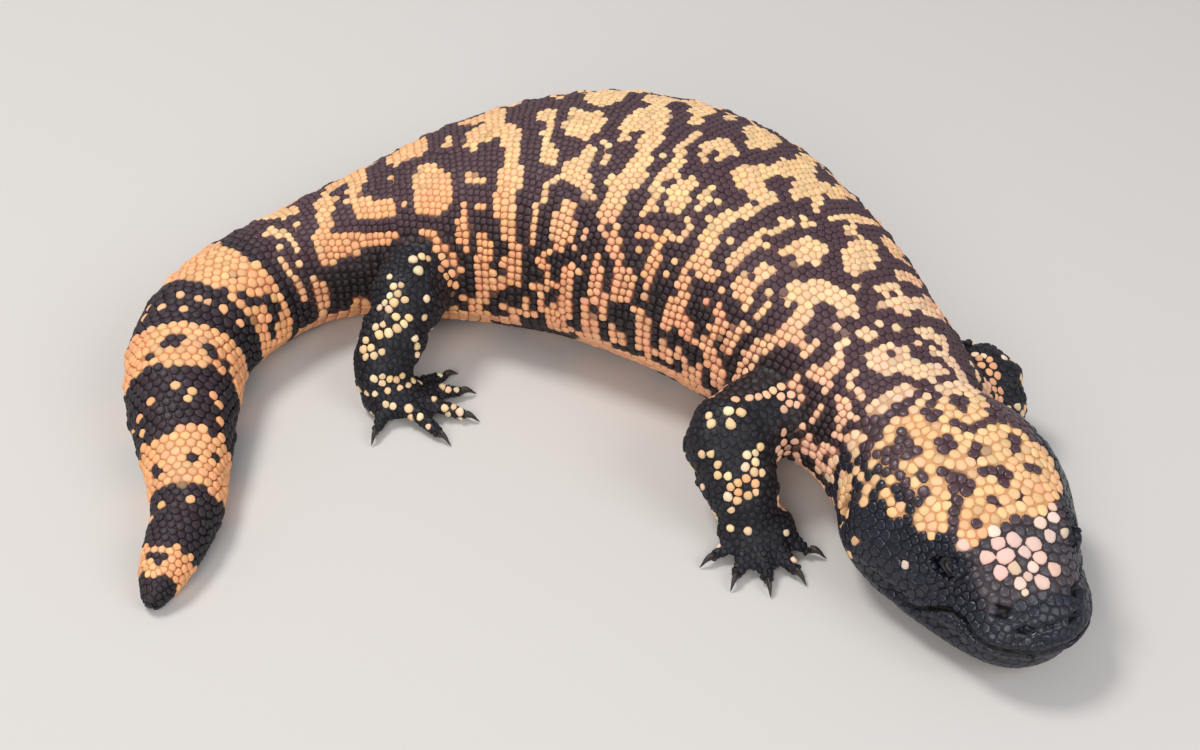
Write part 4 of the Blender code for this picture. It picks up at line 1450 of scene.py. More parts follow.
    def pitch_at(self, points: np.ndarray, region: np.ndarray) -> np.ndarray:
        """Returns how far apart the beads stand at each place.

        Args:
            points: Places on the skin.
            region: Region of each.

        Returns:
            One pitch for each.
        """
        pitch = np.full(len(points), 2.4)
        on_head = self.head.measure(points)
        is_head = within(region, Region.HEAD)
        crown = np.interp(on_head[:, 0], [0, 8, 20, 45, 58, 66], [2.3, 2.4, 2.55, 2.55, 2.4, 2.2])
        side = smooth_step(10.0, 16.0, self.head_low(on_head))
        pitch = np.where(is_head, crown * (1.0 - 0.10 * side), pitch)
        away = np.column_stack(self.head.sides(points)) - np.array(self.head.eye)
        eye = np.linalg.norm(away, axis=1)
        pitch = np.where(is_head & (eye < 8.5), np.interp(eye, [3.0, 8.5], [1.3, 2.2]), pitch)
        lip = np.abs(on_head[:, 2] - self.head.mouth.at(on_head[:, 0])[:, 0])
        lip = np.where(on_head[:, 0] > self.head.mouth_corner - 2.0, lip, 9.0)
        pitch = np.where(is_head, np.minimum(pitch, np.interp(lip, [1.0, 3.5], [1.55, 2.4])), pitch)
        for limb in LIMBS:
            mine = within(region, limb.region)
            if mine.any():
                along = limb.along(points[mine])
                stops = [0, 0.6, 1.2, 1.8, 2.3, 3.0]
                value = np.interp(along, stops, [2.15, 2.1, 2.05, 2.0, 1.7, 1.6])
                far = np.linalg.norm(points[mine][:, :2] - limb.sole(), axis=1)
                value = np.where((far > 9.0) & (along > 1.7), 1.55, value)
                pitch[mine] = value
        return pitch

    @staticmethod
    def head_low(on_head: np.ndarray) -> np.ndarray:
        """Returns how far below the crown's edge each place on the head is."""
        return np.interp(on_head[:, 0], [0, 30, 45, 60, 67], [40, 38, 32, 23, 16]) - on_head[:, 2]

    @staticmethod
    def crowded(grid: dict, key: tuple, place: np.ndarray, pitch: float, gap_share: float) -> bool:
        """Tells whether a bead would stand too near one that is there.

        Args:
            grid: Beads so far, by the cell that holds them.
            key: The new bead's own cell.
            place: Where it would stand.
            pitch: Its pitch.
            gap_share: Least distance as a share of the pitch.

        Returns:
            True if it has no room.
        """
        for dx, dy, dz in product((-1, 0, 1), repeat=3):
            for other, wide in grid.get((key[0] + dx, key[1] + dy, key[2] + dz), ()):
                gap = other - place
                if gap @ gap < (gap_share * pitch * (0.5 + 0.5 * wide / pitch)) ** 2:
                    return True
        return False

    def spread(self, held: Seeds, wanted: tuple, gap_share: float) -> Seeds:
        """Spreads beads evenly over regions of the skin.

        Args:
            held: Beads that already stand there.
            wanted: The regions to cover.
            gap_share: Least distance between two roots, as a share of the pitch.

        Returns:
            The new seeds.
        """
        mine = np.flatnonzero(within(self.skin.region, *wanted))
        mine = mine[self.draw.permutation(len(mine))]
        places = self.skin.points[mine]
        regions = self.skin.region[mine]
        pitches = self.pitch_at(places, regions)
        grid: dict = {}
        for place, pitch in zip(held.place, held.pitch):
            grid.setdefault(tuple((place // self.cell).astype(int)), []).append((place, pitch))
        chosen = []
        for i in range(len(places)):
            key = tuple((places[i] // self.cell).astype(int))
            if not self.crowded(grid, key, places[i], pitches[i], gap_share):
                grid.setdefault(key, []).append((places[i], pitches[i]))
                chosen.append(i)
        spot, normal, _ = self.skin.settle(self.relax(places[chosen], places, held))
        region = self.skin.region_at(spot)
        pitch = self.pitch_at(spot, region)
        rise, sharp, fill = self.style(spot, region, pitch)
        return Seeds(spot, normal, region, pitch, rise, sharp, fill)

    def relax(self, seeds: np.ndarray, samples: np.ndarray, held: Seeds) -> np.ndarray:
        """Evens spread seeds by moving each to the middle of its own patch.

        Args:
            seeds: Places of the seeds.
            samples: Points of the skin that they share.
            held: Beads that stay where they are.

        Returns:
            The seeds' new places.
        """
        for _ in range(4):
            tree = tree_of(np.concatenate([seeds, held.place]))
            owner = np.array([tree.find(Vector(p))[1] for p in samples])
            mine = owner < len(seeds)
            total = np.zeros_like(seeds)
            for axis in range(3):
                total[:, axis] = np.bincount(owner[mine], samples[mine, axis], len(seeds))
            number = np.bincount(owner[mine], minlength=len(seeds))
            filled = number > 0
            seeds = seeds.copy()
            seeds[filled] = total[filled] / number[filled][:, None]
        return seeds

    def style(
        self, points: np.ndarray, region: np.ndarray, pitch: np.ndarray
    ) -> tuple[np.ndarray, np.ndarray, np.ndarray]:
        """Returns height, corner sharpness and fill of spread beads.

        Args:
            points: The beads' places.
            region: Region of each.
            pitch: Pitch of each.

        Returns:
            The three measures of each bead.
        """
        rise = 0.17 * pitch
        sharp = np.full(len(points), 5.0)
        fill = np.full(len(points), 0.95)
        on_head = self.head.measure(points)
        is_head = within(region, Region.HEAD)
        low = smooth_step(9.0, 15.0, self.head_low(on_head))
        snout = smooth_step(53.0, 59.0, on_head[:, 0])
        flat = np.maximum(0.72 * low, snout)
        rise = np.where(is_head, 0.46 - 0.34 * flat, rise)
        sharp = np.where(is_head, 7.5 + 6.0 * flat, sharp)
        fill = np.where(is_head, 0.965 + 0.03 * flat, fill)
        hand = (pitch < 1.75) & ~is_head
        rise = np.where(hand, 0.20 * pitch, rise)
        fill = np.where(hand, 0.96, fill)
        sharp = np.where(hand, 8.0, sharp)
        return rise, sharp, fill


@dataclass
class BeadMaker:
    """Turns seeds into domed beads of solid mesh, joined into pieces."""

    axis: BodyAxis
    head: HeadForm
    skin: Skin
    sides: int = 10
    neighbours: int = 15
    widest: float = 0.74
    sink: float = 0.45
    floor: float = 0.02
    patch: float = 0.0015

    def ways(self) -> np.ndarray:
        """Returns the unit ways round a bead, one in a row."""
        angles = 2 * math.pi * np.arange(self.sides) / self.sides
        return np.column_stack([np.cos(angles), np.sin(angles)])

    def outlines(self, seeds: Seeds, every: Seeds) -> tuple[np.ndarray, np.ndarray, np.ndarray]:
        """Finds each bead's outline from the beads round it.

        Args:
            seeds: The beads to outline.
            every: All beads, the neighbours among them.

        Returns:
            Radii round each bead, and two unit ways across it.
        """
        tree = tree_of(every.place)
        ahead = self.grain(seeds)
        first = unit(ahead - seeds.normal * (ahead * seeds.normal).sum(1)[:, None])
        second = np.cross(seeds.normal, first)
        total = np.zeros((len(seeds.place), self.sides))
        power = seeds.sharp[:, None]
        offsets = np.zeros((len(seeds.place), self.neighbours, 3))
        part = np.full((len(seeds.place), self.neighbours), 0.5)
        for i, place in enumerate(seeds.place):
            found = tree.find_n(Vector(place), self.neighbours + 1)
            others = [j for _, j, gap in found if gap > 1e-6][:self.neighbours]
            offsets[i, :len(others)] = every.place[others] - place
            part[i, :len(others)] = seeds.pitch[i] / (seeds.pitch[i] + every.pitch[others])
        length = np.linalg.norm(offsets, axis=2)
        flat = [(offsets * way[:, None, :]).sum(2) for way in (first, second)]
        flat = np.stack(flat, axis=2)
        flat_length = np.linalg.norm(flat, axis=2)
        real = length > 1e-6
        way = flat / np.maximum(flat_length, 1e-9)[:, :, None]
        for k, across in enumerate(self.ways()):
            facing = (way * across).sum(2)
            closeness = facing / np.maximum(length * part, 0.2)
            closeness = np.where(real & (facing > 0.05), closeness, 0.0)
            total[:, k] = (closeness**power).sum(1)
        total += (1.0 / (self.widest * seeds.pitch[:, None])) ** power
        radius = total ** (-1.0 / power) * seeds.fill[:, None]
        return radius, first, second

    def grain(self, seeds: Seeds) -> np.ndarray:
        """Returns the way the scales run at each seed.

        Args:
            seeds: The beads.

        Returns:
            One unit direction for each.
        """
        s, _ = self.axis.coordinates(seeds.place)
        ahead, _ = self.axis.directions(s)
        way = np.column_stack([ahead, np.zeros(len(ahead))])
        for limb in LIMBS:
            mine = within(seeds.region, limb.region)
            joints = limb.joints()
            way[mine] = unit(joints[2] - joints[0])
        is_head = within(seeds.region, Region.HEAD)
        way[is_head] = self.head.ahead
        return way

    def chart(self, seeds: Seeds) -> np.ndarray:
        """Places each root on a flat unwrap of the skin's own shape.

        Args:
            seeds: The beads.

        Returns:
            A place on the unwrap for each.
        """
        s, turn = self.axis.coordinates(seeds.place)
        chart = np.column_stack([0.02 + 0.96 * s / self.axis.length, 0.72 + 0.25 * turn / 180.0])
        is_head = within(seeds.region, Region.HEAD)
        forward, out, up = self.head.measure(seeds.place).T[:, is_head]
        length = 0.42 * np.clip(forward + 8.0, 0, 80) / 80.0
        around = np.arctan2(out, up - 14.0) / math.pi
        chart[is_head] = np.column_stack([0.03 + length, 0.34 + 0.10 * around])
        corners = ((0.50, 0.34), (0.76, 0.34), (0.50, 0.12), (0.76, 0.12))
        for limb, corner in zip(LIMBS, corners):
            mine = within(seeds.region, limb.region)
            if not mine.any():
                continue
            along = limb.along(seeds.place[mine])
            joints = limb.joints()
            segment = np.clip(along.astype(int), 0, 2)
            span = joints[segment + 1] - joints[segment]
            away = seeds.place[mine] - (joints[segment] + (along - segment)[:, None] * span)
            ring = np.arctan2(away[:, 1], away[:, 2]) / math.pi
            chart[mine] = np.column_stack([corner[0] + 0.22 * along / 3.0, corner[1] + 0.09 * ring])
        return chart

    def stack(self, seeds: Seeds, every: Seeds) -> np.ndarray:
        """Finds the points of each bead: four rings up from its foot, and its top.

        Args:
            seeds: The beads.
            every: All beads of the animal.

        Returns:
            The points of each bead.
        """
        radius, first, second = self.outlines(seeds, every)
        n = len(seeds.place)
        plain = np.clip((seeds.sharp - 5.0) / 5.0, 0.0, 1.0)
        widths = (np.full(n, 1.0), np.full(n, 0.97), 0.76 + 0.10 * plain, 0.40 + 0.08 * plain)
        heights = (
            np.full(n, -self.sink),
            0.36 * seeds.rise,
            (0.80 + 0.06 * plain) * seeds.rise,
            (0.975 + 0.01 * plain) * seeds.rise,
        )
        ways = self.ways()[None, :, :]
        around = first[:, None, :] * ways[:, :, :1] + second[:, None, :] * ways[:, :, 1:]
        rings = []
        for width, height in zip(widths, heights):
            ring = seeds.place[:, None, :] + around * (radius * width[:, None])[:, :, None]
            rings.append(ring + seeds.normal[:, None, :] * height[:, None, None])
        top = seeds.place + seeds.normal * seeds.rise[:, None]
        block = np.stack(rings, axis=1).reshape(n, -1, 3)
        block = np.concatenate([block, top[:, None, :]], axis=1)
        above = np.repeat(np.stack(heights, axis=1), self.sides, axis=1)
        above = np.concatenate([above, seeds.rise[:, None]], axis=1)
        self.mould(block, above, within(seeds.region, Region.HEAD))
        block[:, :, 2] = np.maximum(block[:, :, 2], self.floor)
        return block

    def pattern(self, points: int) -> list[tuple]:
        """Lists the faces of one bead, by the numbers of its points.

        Args:
            points: How many points it has.

        Returns:
            Its walls, the fan at its top and its foot.
        """
        sides = self.sides
        last = points - 1 - sides
        faces = []
        for low in range(0, last, sides):
            for k in range(sides):
                after = low + (k + 1) % sides
                faces.append((low + k, after, after + sides, low + k + sides))
        faces += [(last + k, last + (k + 1) % sides, points - 1) for k in range(sides)]
        return faces + [tuple(reversed(range(sides)))]

    def mesh(self, name: str, seeds: Seeds, every: Seeds, tints: np.ndarray) -> bpy.types.Object:
        """Builds one joined piece of beads.

        Args:
            name: The piece's name.
            seeds: The beads in it.
            every: All beads of the animal.
            tints: Linear colour of each bead.

        Returns:
            The finished object.
        """
        block = self.stack(seeds, every)
        n, each, _ = block.shape
        pattern = self.pattern(each)
        sizes = np.array([len(face) for face in pattern])
        corners = np.concatenate(pattern)
        loops = (corners[None, :] + (np.arange(n) * each)[:, None]).ravel()
        starts = np.concatenate([[0], np.cumsum(np.tile(sizes, n))[:-1]])
        mesh = bpy.data.meshes.new(name)
        mesh.vertices.add(n * each)
        mesh.vertices.foreach_set("co", (block.reshape(-1, 3) * MM).ravel())
        mesh.loops.add(len(loops))
        mesh.loops.foreach_set("vertex_index", loops)
        mesh.polygons.add(len(starts))
        mesh.polygons.foreach_set("loop_start", starts)
        mesh.polygons.foreach_set("use_smooth", np.ones(len(starts), bool))
        mesh.update(calc_edges=True)
        self.paint(mesh, np.repeat(tints, each, axis=0))
        self.unwrap(mesh, seeds, corners)
        return link_mesh(mesh)

    def mould(self, block: np.ndarray, above: np.ndarray, mine: np.ndarray) -> None:
        """Bends beads to the skin below them, so that plates lie flush.

        Args:
            block: Points of each bead, which are moved in place.
            above: Height of each point above the skin.
            mine: Which beads to bend.
        """
        if not mine.any():
            return
        spots, normals, _ = self.skin.settle(block[mine].reshape(-1, 3))
        block[mine] = (spots + normals * above[mine].reshape(-1, 1)).reshape(-1, block.shape[1], 3)

    @staticmethod
    def paint(mesh: bpy.types.Mesh, tints: np.ndarray) -> None:
        """Stores a colour at every point of a mesh, under the name tint."""
        layer = mesh.attributes.new("tint", "FLOAT_COLOR", "POINT")
        rgba = np.column_stack([tints, np.ones(len(tints))])
        layer.data.foreach_set("color", rgba.ravel())

    def unwrap(self, mesh: bpy.types.Mesh, seeds: Seeds, corners: np.ndarray) -> None:
        """Gives each bead its own small patch at its root's place on the skin.

        Args:
            mesh: The piece of beads.
            seeds: The beads in it.
            corners: The point of the bead at each corner of its faces.
        """
        chart = self.chart(seeds)
        local = [self.ways() * width for width in (1.0, 0.93, 0.74, 0.42)]
        local = np.concatenate(local + [np.zeros((1, 2))]) * self.patch
        whole = chart[:, None, :] + local[None, :, :]
        layer = mesh.uv_layers.new(name="OFBake")
        layer.uv.foreach_set("vector", whole[:, corners, :].ravel())


@dataclass
class Wiring:
    """A node tree, with a short way to add a node and feed its inputs."""

    tree: bpy.types.NodeTree

    def feed(self, node: bpy.types.Node, values: dict) -> None:
        """Sets a node's inputs.

        Args:
            node: The node.
            values: By name or number, a value or the output that feeds the input.
        """
        for name, value in values.items():
            if isinstance(value, bpy.types.NodeSocket):
                self.tree.links.new(value, node.inputs[name])
            else:
                node.inputs[name].default_value = value

    def add(self, kind: str, values: dict | None = None, **traits: object) -> bpy.types.Node:
        """Adds a node.

        Args:
            kind: The node's type.
            values: What its inputs hold, as for feed.
            traits: Its other settings.

        Returns:
            The node.
        """
        node = self.tree.nodes.new(kind)
        for name, value in traits.items():
            setattr(node, name, value)
        self.feed(node, values or {})
        return node

    def math(self, operation: str, *values: object) -> bpy.types.NodeSocket:
        """Adds a sum of two or three values and returns its output."""
        node = self.add("ShaderNodeMath", dict(enumerate(values)), operation=operation)
        return node.outputs[0]

    def place(self) -> bpy.types.NodeSocket:
        """Adds the place on the object and returns its output."""
        return self.add("ShaderNodeTexCoord").outputs["Object"]


def new_group(name: str, inputs: tuple, outputs: tuple) -> Wiring:
    """Starts a shader group with named sockets.

    Args:
        name: The group's name.
        inputs: Rows of socket name, socket type and value.
        outputs: Rows of socket name and socket type.

    Returns:
        The group's wiring.
    """
    tree = bpy.data.node_groups.new(name, "ShaderNodeTree")
    for label, kind, value in inputs:
        socket = tree.interface.new_socket(label, in_out="INPUT", socket_type=kind)
        socket.default_value = value
    for label, kind in outputs:
        tree.interface.new_socket(label, in_out="OUTPUT", socket_type=kind)
    return Wiring(tree)


def new_material(name: str, values: dict) -> tuple[bpy.types.Material, Wiring, bpy.types.Node]:
    """Starts a material.

    Args:
        name: The material's name.
        values: Plain inputs of its shader.

    Returns:
        The material, its wiring and its shader.
    """
    made = bpy.data.materials.new(name)
    made.use_nodes = True
    wires = Wiring(made.node_tree)
    shader = made.node_tree.nodes["Principled BSDF"]
    wires.feed(shader, values)
    return made, wires, shader


def make_mottle() -> bpy.types.NodeTree:
    """Builds the group that varies a hide colour and its gloss."""
    wires = new_group(
        "hide_mottle",
        (
            ("Colour", "NodeSocketColor", (0.5, 0.5, 0.5, 1.0)),
            ("Amount", "NodeSocketFloat", 0.16),
            ("Scale", "NodeSocketFloat", 900.0),
            ("Gloss Dark", "NodeSocketFloat", 0.3),
            ("Gloss Light", "NodeSocketFloat", 0.46),
        ),
        (("Colour", "NodeSocketColor"), ("Roughness", "NodeSocketFloat")),
    )
    given = wires.add("NodeGroupInput").outputs
    place = wires.place()
    fine = {"Vector": place, "Scale": given["Scale"], "Detail": 4.0, "Roughness": 0.62}
    fine = wires.add("ShaderNodeTexNoise", fine).outputs["Fac"]
    broad = {"Vector": place, "Scale": 210.0, "Detail": 2.0}
    broad = wires.add("ShaderNodeTexNoise", broad).outputs["Fac"]
    swing = wires.math("SUBTRACT", wires.math("ADD", fine, broad), 1.0)
    level = wires.math("MULTIPLY_ADD", swing, given["Amount"], 1.0)
    tinted = {0: given["Colour"], "Scale": level}
    tinted = wires.add("ShaderNodeVectorMath", tinted, operation="SCALE")
    grey = wires.add("ShaderNodeRGBToBW", {0: given["Colour"]})
    gloss = {
        "Value": grey.outputs[0],
        "From Min": 0.03,
        "From Max": 0.30,
        "To Min": given["Gloss Dark"],
        "To Max": given["Gloss Light"],
    }
    gloss = wires.add("ShaderNodeMapRange", gloss).outputs["Result"]
    worn = wires.math("MULTIPLY_ADD", swing, 0.22, gloss)
    wires.add("NodeGroupOutput", {"Colour": tinted.outputs[0], "Roughness": worn})
    return wires.tree


def make_wrinkle() -> bpy.types.NodeTree:
    """Builds the group that gives the height of fine wrinkles."""
    wires = new_group(
        "hide_wrinkle",
        (("Scale", "NodeSocketFloat", 1500.0), ("Pits", "NodeSocketFloat", 0.5)),
        (("Height", "NodeSocketFloat"),),
    )
    given = wires.add("NodeGroupInput").outputs
    where = {"Vector": wires.place(), "Scale": given["Scale"]}
    grain = wires.add("ShaderNodeTexNoise", where | {"Detail": 5.0}).outputs["Fac"]
    cells = wires.add("ShaderNodeTexVoronoi", where, feature="F1").outputs["Distance"]
    mixed = wires.math("MULTIPLY_ADD", cells, given["Pits"], grain)
    wires.add("NodeGroupOutput", {"Height": mixed})
    return wires.tree


@dataclass(frozen=True)
class Hide:
    """A hide finish that takes its colour from the tint attribute."""

    name: str
    rough_dark: float
    rough_light: float
    grain_scale: float
    grain_depth: float
    shine: float
    bump: float = 0.55
    wrinkle_share: float = 1.6

    def make(self, mottle: bpy.types.NodeTree, wrinkle: bpy.types.NodeTree) -> bpy.types.Material:
        """Makes the material.

        Args:
            mottle: The group that varies colour and gloss.
            wrinkle: The group that gives the height of wrinkles.

        Returns:
            The material.
        """
        made, wires, shader = new_material(self.name, {"Specular IOR Level": self.shine})
        tint = wires.add("ShaderNodeAttribute", attribute_name="tint").outputs["Color"]
        tone = {
            "Colour": tint,
            "Scale": self.grain_scale,
            "Gloss Dark": self.rough_dark,
            "Gloss Light": self.rough_light,
        }
        tone = wires.add("ShaderNodeGroup", node_tree=mottle, values=tone).outputs
        wires.feed(shader, {"Base Color": tone["Colour"], "Roughness": tone["Roughness"]})
        grain = {"Scale": self.grain_scale * self.wrinkle_share}
        grain = wires.add("ShaderNodeGroup", node_tree=wrinkle, values=grain)
        height = grain.outputs["Height"]
        bump = {"Height": height, "Strength": self.bump, "Distance": self.grain_depth}
        bump = wires.add("ShaderNodeBump", bump)
        wires.feed(shader, {"Normal": bump.outputs["Normal"]})
        return made


@dataclass(frozen=True)
class Horn:
    """The dark streaked horn of the claws."""

    roughness: float = 0.45
    scale: float = 1200.0
    stops: tuple = ((0.35, (0.012, 0.009, 0.009, 1.0)), (0.75, (0.050, 0.032, 0.025, 1.0)))

    def make(self) -> bpy.types.Material:
        """Makes the material."""
        made, wires, shader = new_material("claw_horn_dark", {"Roughness": self.roughness})
        streak = {"Vector": wires.place(), "Scale": self.scale, "Detail": 4.0}
        streak = wires.add("ShaderNodeTexNoise", streak).outputs["Fac"]
        ramp = wires.add("ShaderNodeValToRGB", {"Fac": streak})
        for point, (position, colour) in zip(ramp.color_ramp.elements, self.stops):
            point.position = position
            point.color = colour
        wires.feed(shader, {"Base Color": ramp.outputs["Color"]})
        return made


@dataclass(frozen=True)
class WetEye:
    """The wet dark eye, brown round a black pupil."""

    roughness: float = 0.07
    coat: float = 0.6
    scale: float = 2200.0
    amount: float = 0.5

    def make(self, mottle: bpy.types.NodeTree) -> bpy.types.Material:
        """Makes the material, with the group that varies colour and gloss.

        Args:
            mottle: That group.

        Returns:
            The material.
        """
        plain = {"Roughness": self.roughness, "Coat Weight": self.coat}
        made, wires, shader = new_material("eye_wet", plain)
        tint = wires.add("ShaderNodeAttribute", attribute_name="tint").outputs["Color"]
        tone = {"Colour": tint, "Scale": self.scale, "Amount": self.amount}
        tone = wires.add("ShaderNodeGroup", node_tree=mottle, values=tone)
        wires.feed(shader, {"Base Color": tone.outputs["Colour"]})
        return made


class Finishes:
    """Materials of the model, made once and shared."""

    def __init__(self) -> None:
        """Makes the shared effects and the materials."""
        mottle = make_mottle()
        wrinkle = make_wrinkle()
        self.bead = Hide("bead_hide", 0.54, 0.62, 900.0, 0.00012, 0.38).make(mottle, wrinkle)
        self.plate = Hide("plate_hide", 0.33, 0.60, 900.0, 0.00012, 0.5).make(mottle, wrinkle)
        self.skin = Hide("skin_between", 0.46, 0.60, 1500.0, 0.00016, 0.35).make(mottle, wrinkle)
        self.horn = Horn().make()
        self.eye = WetEye().make(mottle)


def finish_piece(
    obj: bpy.types.Object, material: bpy.types.Material, nodes: tuple = ()
) -> None:
    """Gives a piece its material and tells the frame about it.

    Args:
        obj: The finished object.
        material: Its material.
        nodes: Nodes of the frame that it stands for.
    """
    obj.data.materials.clear()
    obj.data.materials.append(material)
    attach(obj, "root")
    if nodes:
        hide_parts(*nodes)
    faces = len(obj.data.polygons)
    triangles = sum(len(face.vertices) - 2 for face in obj.data.polygons)
    log.info("%s: %d faces, %d triangles", obj.name, faces, triangles)


@dataclass
class Coat:
    """The whole beaded coat, in joined pieces."""

    axis: BodyAxis
    head: HeadForm
    skin: Skin
    marks: Markings
    finishes: Finishes
    # Pieces of the trunk and tail, each with its far end along the spine.
    cuts: tuple = (
        ("beads_tail", TAIL_ROOT),
        ("beads_hips", 172.0),
        ("beads_waist", 206.0),
        ("beads_torso", 240.0),
        ("beads_chest", 276.0),
        ("beads_shoulders", 312.0),
        ("beads_neck", 400.0),
    )
    # Share of the markings' colour that the skin between the beads has: painted shade in the
    # grooves between them, deeper on the flank.
    seam_shade_back: tuple = (0.70, 0.60, 0.54)
    seam_shade_flank: tuple = (0.34, 0.24, 0.22)
    opening_shade: float = 0.12
    draw: np.random.Generator = field(default_factory=lambda: np.random.default_rng(SEED + 1))

    def plant(self) -> Seeds:
        """Sets every bead's root."""
        planter = Planter(self.axis, self.head, self.skin)
        seeds = planter.rows()
        log.info("rows: %d beads", len(seeds.place))
        view = self.marks.view
        seeds = seeds.add(planter.hold(SNOUT_PLATES, (Region.HEAD,), view, 1.0))
        more = planter.spread(seeds, (Region.HEAD,), 0.86)
        more = more.take(self.clear_of_openings(more.place))
        seeds = seeds.add(more)
        seeds = seeds.add(planter.hold(LEG_BEADS, (Region.LEG_RIGHT,), view, 1.12))
        seeds = seeds.add(planter.hold(ARM_BEADS, (Region.ARM_RIGHT,), view, 1.12))
        seeds = seeds.add(planter.spread(seeds, tuple(LIMB_NODES), 0.84))
        seeds = seeds.add(planter.spread(seeds, (Region.TRUNK, Region.TAIL), 0.86))
        log.info("all: %d beads", len(seeds.place))
        return seeds

    def clear_of_openings(self, places: np.ndarray) -> np.ndarray:
        """Returns which places are outside the mouth, nostrils, eyes and ears.

        Args:
            places: Places on the head.

        Returns:
            True for each that is outside.
        """
        forward, out, up = self.head.sides(places)
        mouth = np.abs(up - self.head.mouth.at(forward)[:, 0])
        clear = ~((mouth < 0.75) & (forward > self.head.mouth_corner - 1.0))
        openings = (
            (self.head.nostril, 2.0),
            (self.head.snout_slit, 1.6),
            (self.head.eye, 3.3),
            (self.head.ear, 2.3),
        )
        for (ahead, aside, high), size in openings:
            gap = (forward - ahead) ** 2 + (out - aside) ** 2 + (up - high) ** 2
            clear &= np.sqrt(gap) > size
        return clear

    def nearest(
        self, seeds: Seeds, mine: np.ndarray, places: np.ndarray, most: float
    ) -> np.ndarray:
        """Finds the visible bead nearest to each place in the picture.

        Args:
            seeds: All beads.
            mine: Which of them may be chosen.
            places: Places across and down the picture.
            most: Greatest distance in the picture.

        Returns:
            Numbers of the beads found.
        """
        picture = self.marks.view.project(seeds.place)
        seen = np.flatnonzero(mine & (self.marks.view.facing(seeds.place, seeds.normal) > 0.08))
        tree = tree_of([(*spot, 0.0) for spot in picture[seen]])
        found = [tree.find((*place, 0.0)) for place in places]
        return seen[[i for _, i, gap in found if gap < most]]

    def tints(self, seeds: Seeds) -> np.ndarray:
        """Picks each bead's own colour.

        Args:
            seeds: All beads.

        Returns:
            One linear colour for each.
        """
        colour = np.zeros((len(seeds.place), 3))
        body = within(seeds.region, Region.TRUNK, Region.TAIL)
        head = within(seeds.region, Region.HEAD)
        share = np.zeros(len(seeds.place))
        share[body] = self.marks.body_share(seeds.place[body], 0.10)
        share[head] = self.marks.head_share(seeds.place[head], 0.12)
        share = smooth_step(0.30, 0.70, share)
        s, _ = self.axis.coordinates(seeds.place)
        trunk = (body & (s > TAIL_END)) | head
        share[self.nearest(seeds, trunk, thin_path(PATCHES), 6.0)] = 1.0
        share[self.nearest(seeds, trunk, thin_path(SPOTS + CROWN_SPOTS), 5.0)] = 0.0
        for place in self.axis.place(*np.array(TAIL_BEADS, float).T):
            share[np.linalg.norm(seeds.place - place, axis=1).argmin()] = 1.0
        colour[body] = self.marks.body_mix(seeds.place[body], share[body])
        colour[head] = self.marks.head_mix(seeds.place[head], share[head])
        plates = self.nearest(seeds, head, np.array(SNOUT_PLATES)[:, :2], 4.0)
        shade = self.draw.random(len(plates))
        colour[plates] = blend_tones(Tone.PINK.value, Tone.SALMON.value, 0.35 * shade)
        for limb in LIMBS:
            mine = within(seeds.region, limb.region)
            colour[mine] = self.limb_tints(limb, seeds.take(mine))
        self.light_limbs(seeds, colour)
        level = 1.0 + self.draw.normal(0.0, 0.075, len(colour))
        drift = self.draw.normal(0.0, 0.035, (len(colour), 3))
        return np.clip(colour * level[:, None] * (1.0 + drift), 0.002, 0.95)

    def light_limbs(self, seeds: Seeds, colour: np.ndarray) -> None:
        """Lights the beads of the limbs that are light in the picture.

        Args:
            seeds: All beads.
            colour: Their colours, which are changed in place.
        """
        picture = self.marks.view.project(seeds.place)
        for region, marks in ((Region.LEG_RIGHT, LEG_BEADS), (Region.ARM_RIGHT, ARM_BEADS)):
            places = np.array(marks, float)[:, :2]
            lit = self.nearest(seeds, within(seeds.region, region), places, 4.5)
            warmth = self.draw.random(len(lit))
            colour[lit] = blend_tones(Tone.PALE.value, Tone.CREAM.value, warmth)
            elbow = lit[np.linalg.norm(picture[lit] - ELBOW[:2], axis=1) < ELBOW[2]]
            warmth = self.draw.random(len(elbow))
            colour[elbow] = blend_tones(Tone.CREAM.value, Tone.ORANGE.value, warmth)
        across, down = picture.T
        for region, right, top in LIMB_EDGES:
            mine = within(seeds.region, region)
            mine &= ((across > right) & (down < top + 110)) | (down < top)
            places = seeds.place[mine]
            colour[mine] = self.marks.body_mix(places, self.marks.body_share(places, 0.1))
        far_arm = within(seeds.region, Region.ARM_LEFT)
        inside = disc_reach(picture, FAR_ARM_STRIPE) < 0.0
        seen = self.marks.view.facing(seeds.place, seeds.normal) > 0.05
        colour[far_arm & inside & seen] = Tone.SALMON.value

    def limb_tints(self, limb: Limb, seeds: Seeds) -> np.ndarray:
        """Colours the beads of one limb: black, with scattered pale ones.

        Args:
            limb: The limb.
            seeds: Its beads.

        Returns:
            One linear colour for each.
        """
        along = limb.along(seeds.place)
        stops = [0.0, 0.5, 0.9, 2.0, 2.5, 3.0]
        chance = np.interp(along, stops, [0.03, 0.06, 0.17, 0.17, 0.10, 0.06])
        if limb.region in (Region.LEG_RIGHT, Region.ARM_RIGHT):
            chance[self.marks.view.facing(seeds.place, seeds.normal) > -0.05] = 0.0
        colour = np.tile(np.array(Tone.INK.value), (len(along), 1))
        lit = self.draw.random(len(along)) < chance
        warmth = 0.5 * self.draw.random(int(lit.sum()))
        colour[lit] = blend_tones(Tone.PALE.value, Tone.ORANGE.value, warmth)
        colour[along < 0.12] = Tone.SOOT.value
        return colour

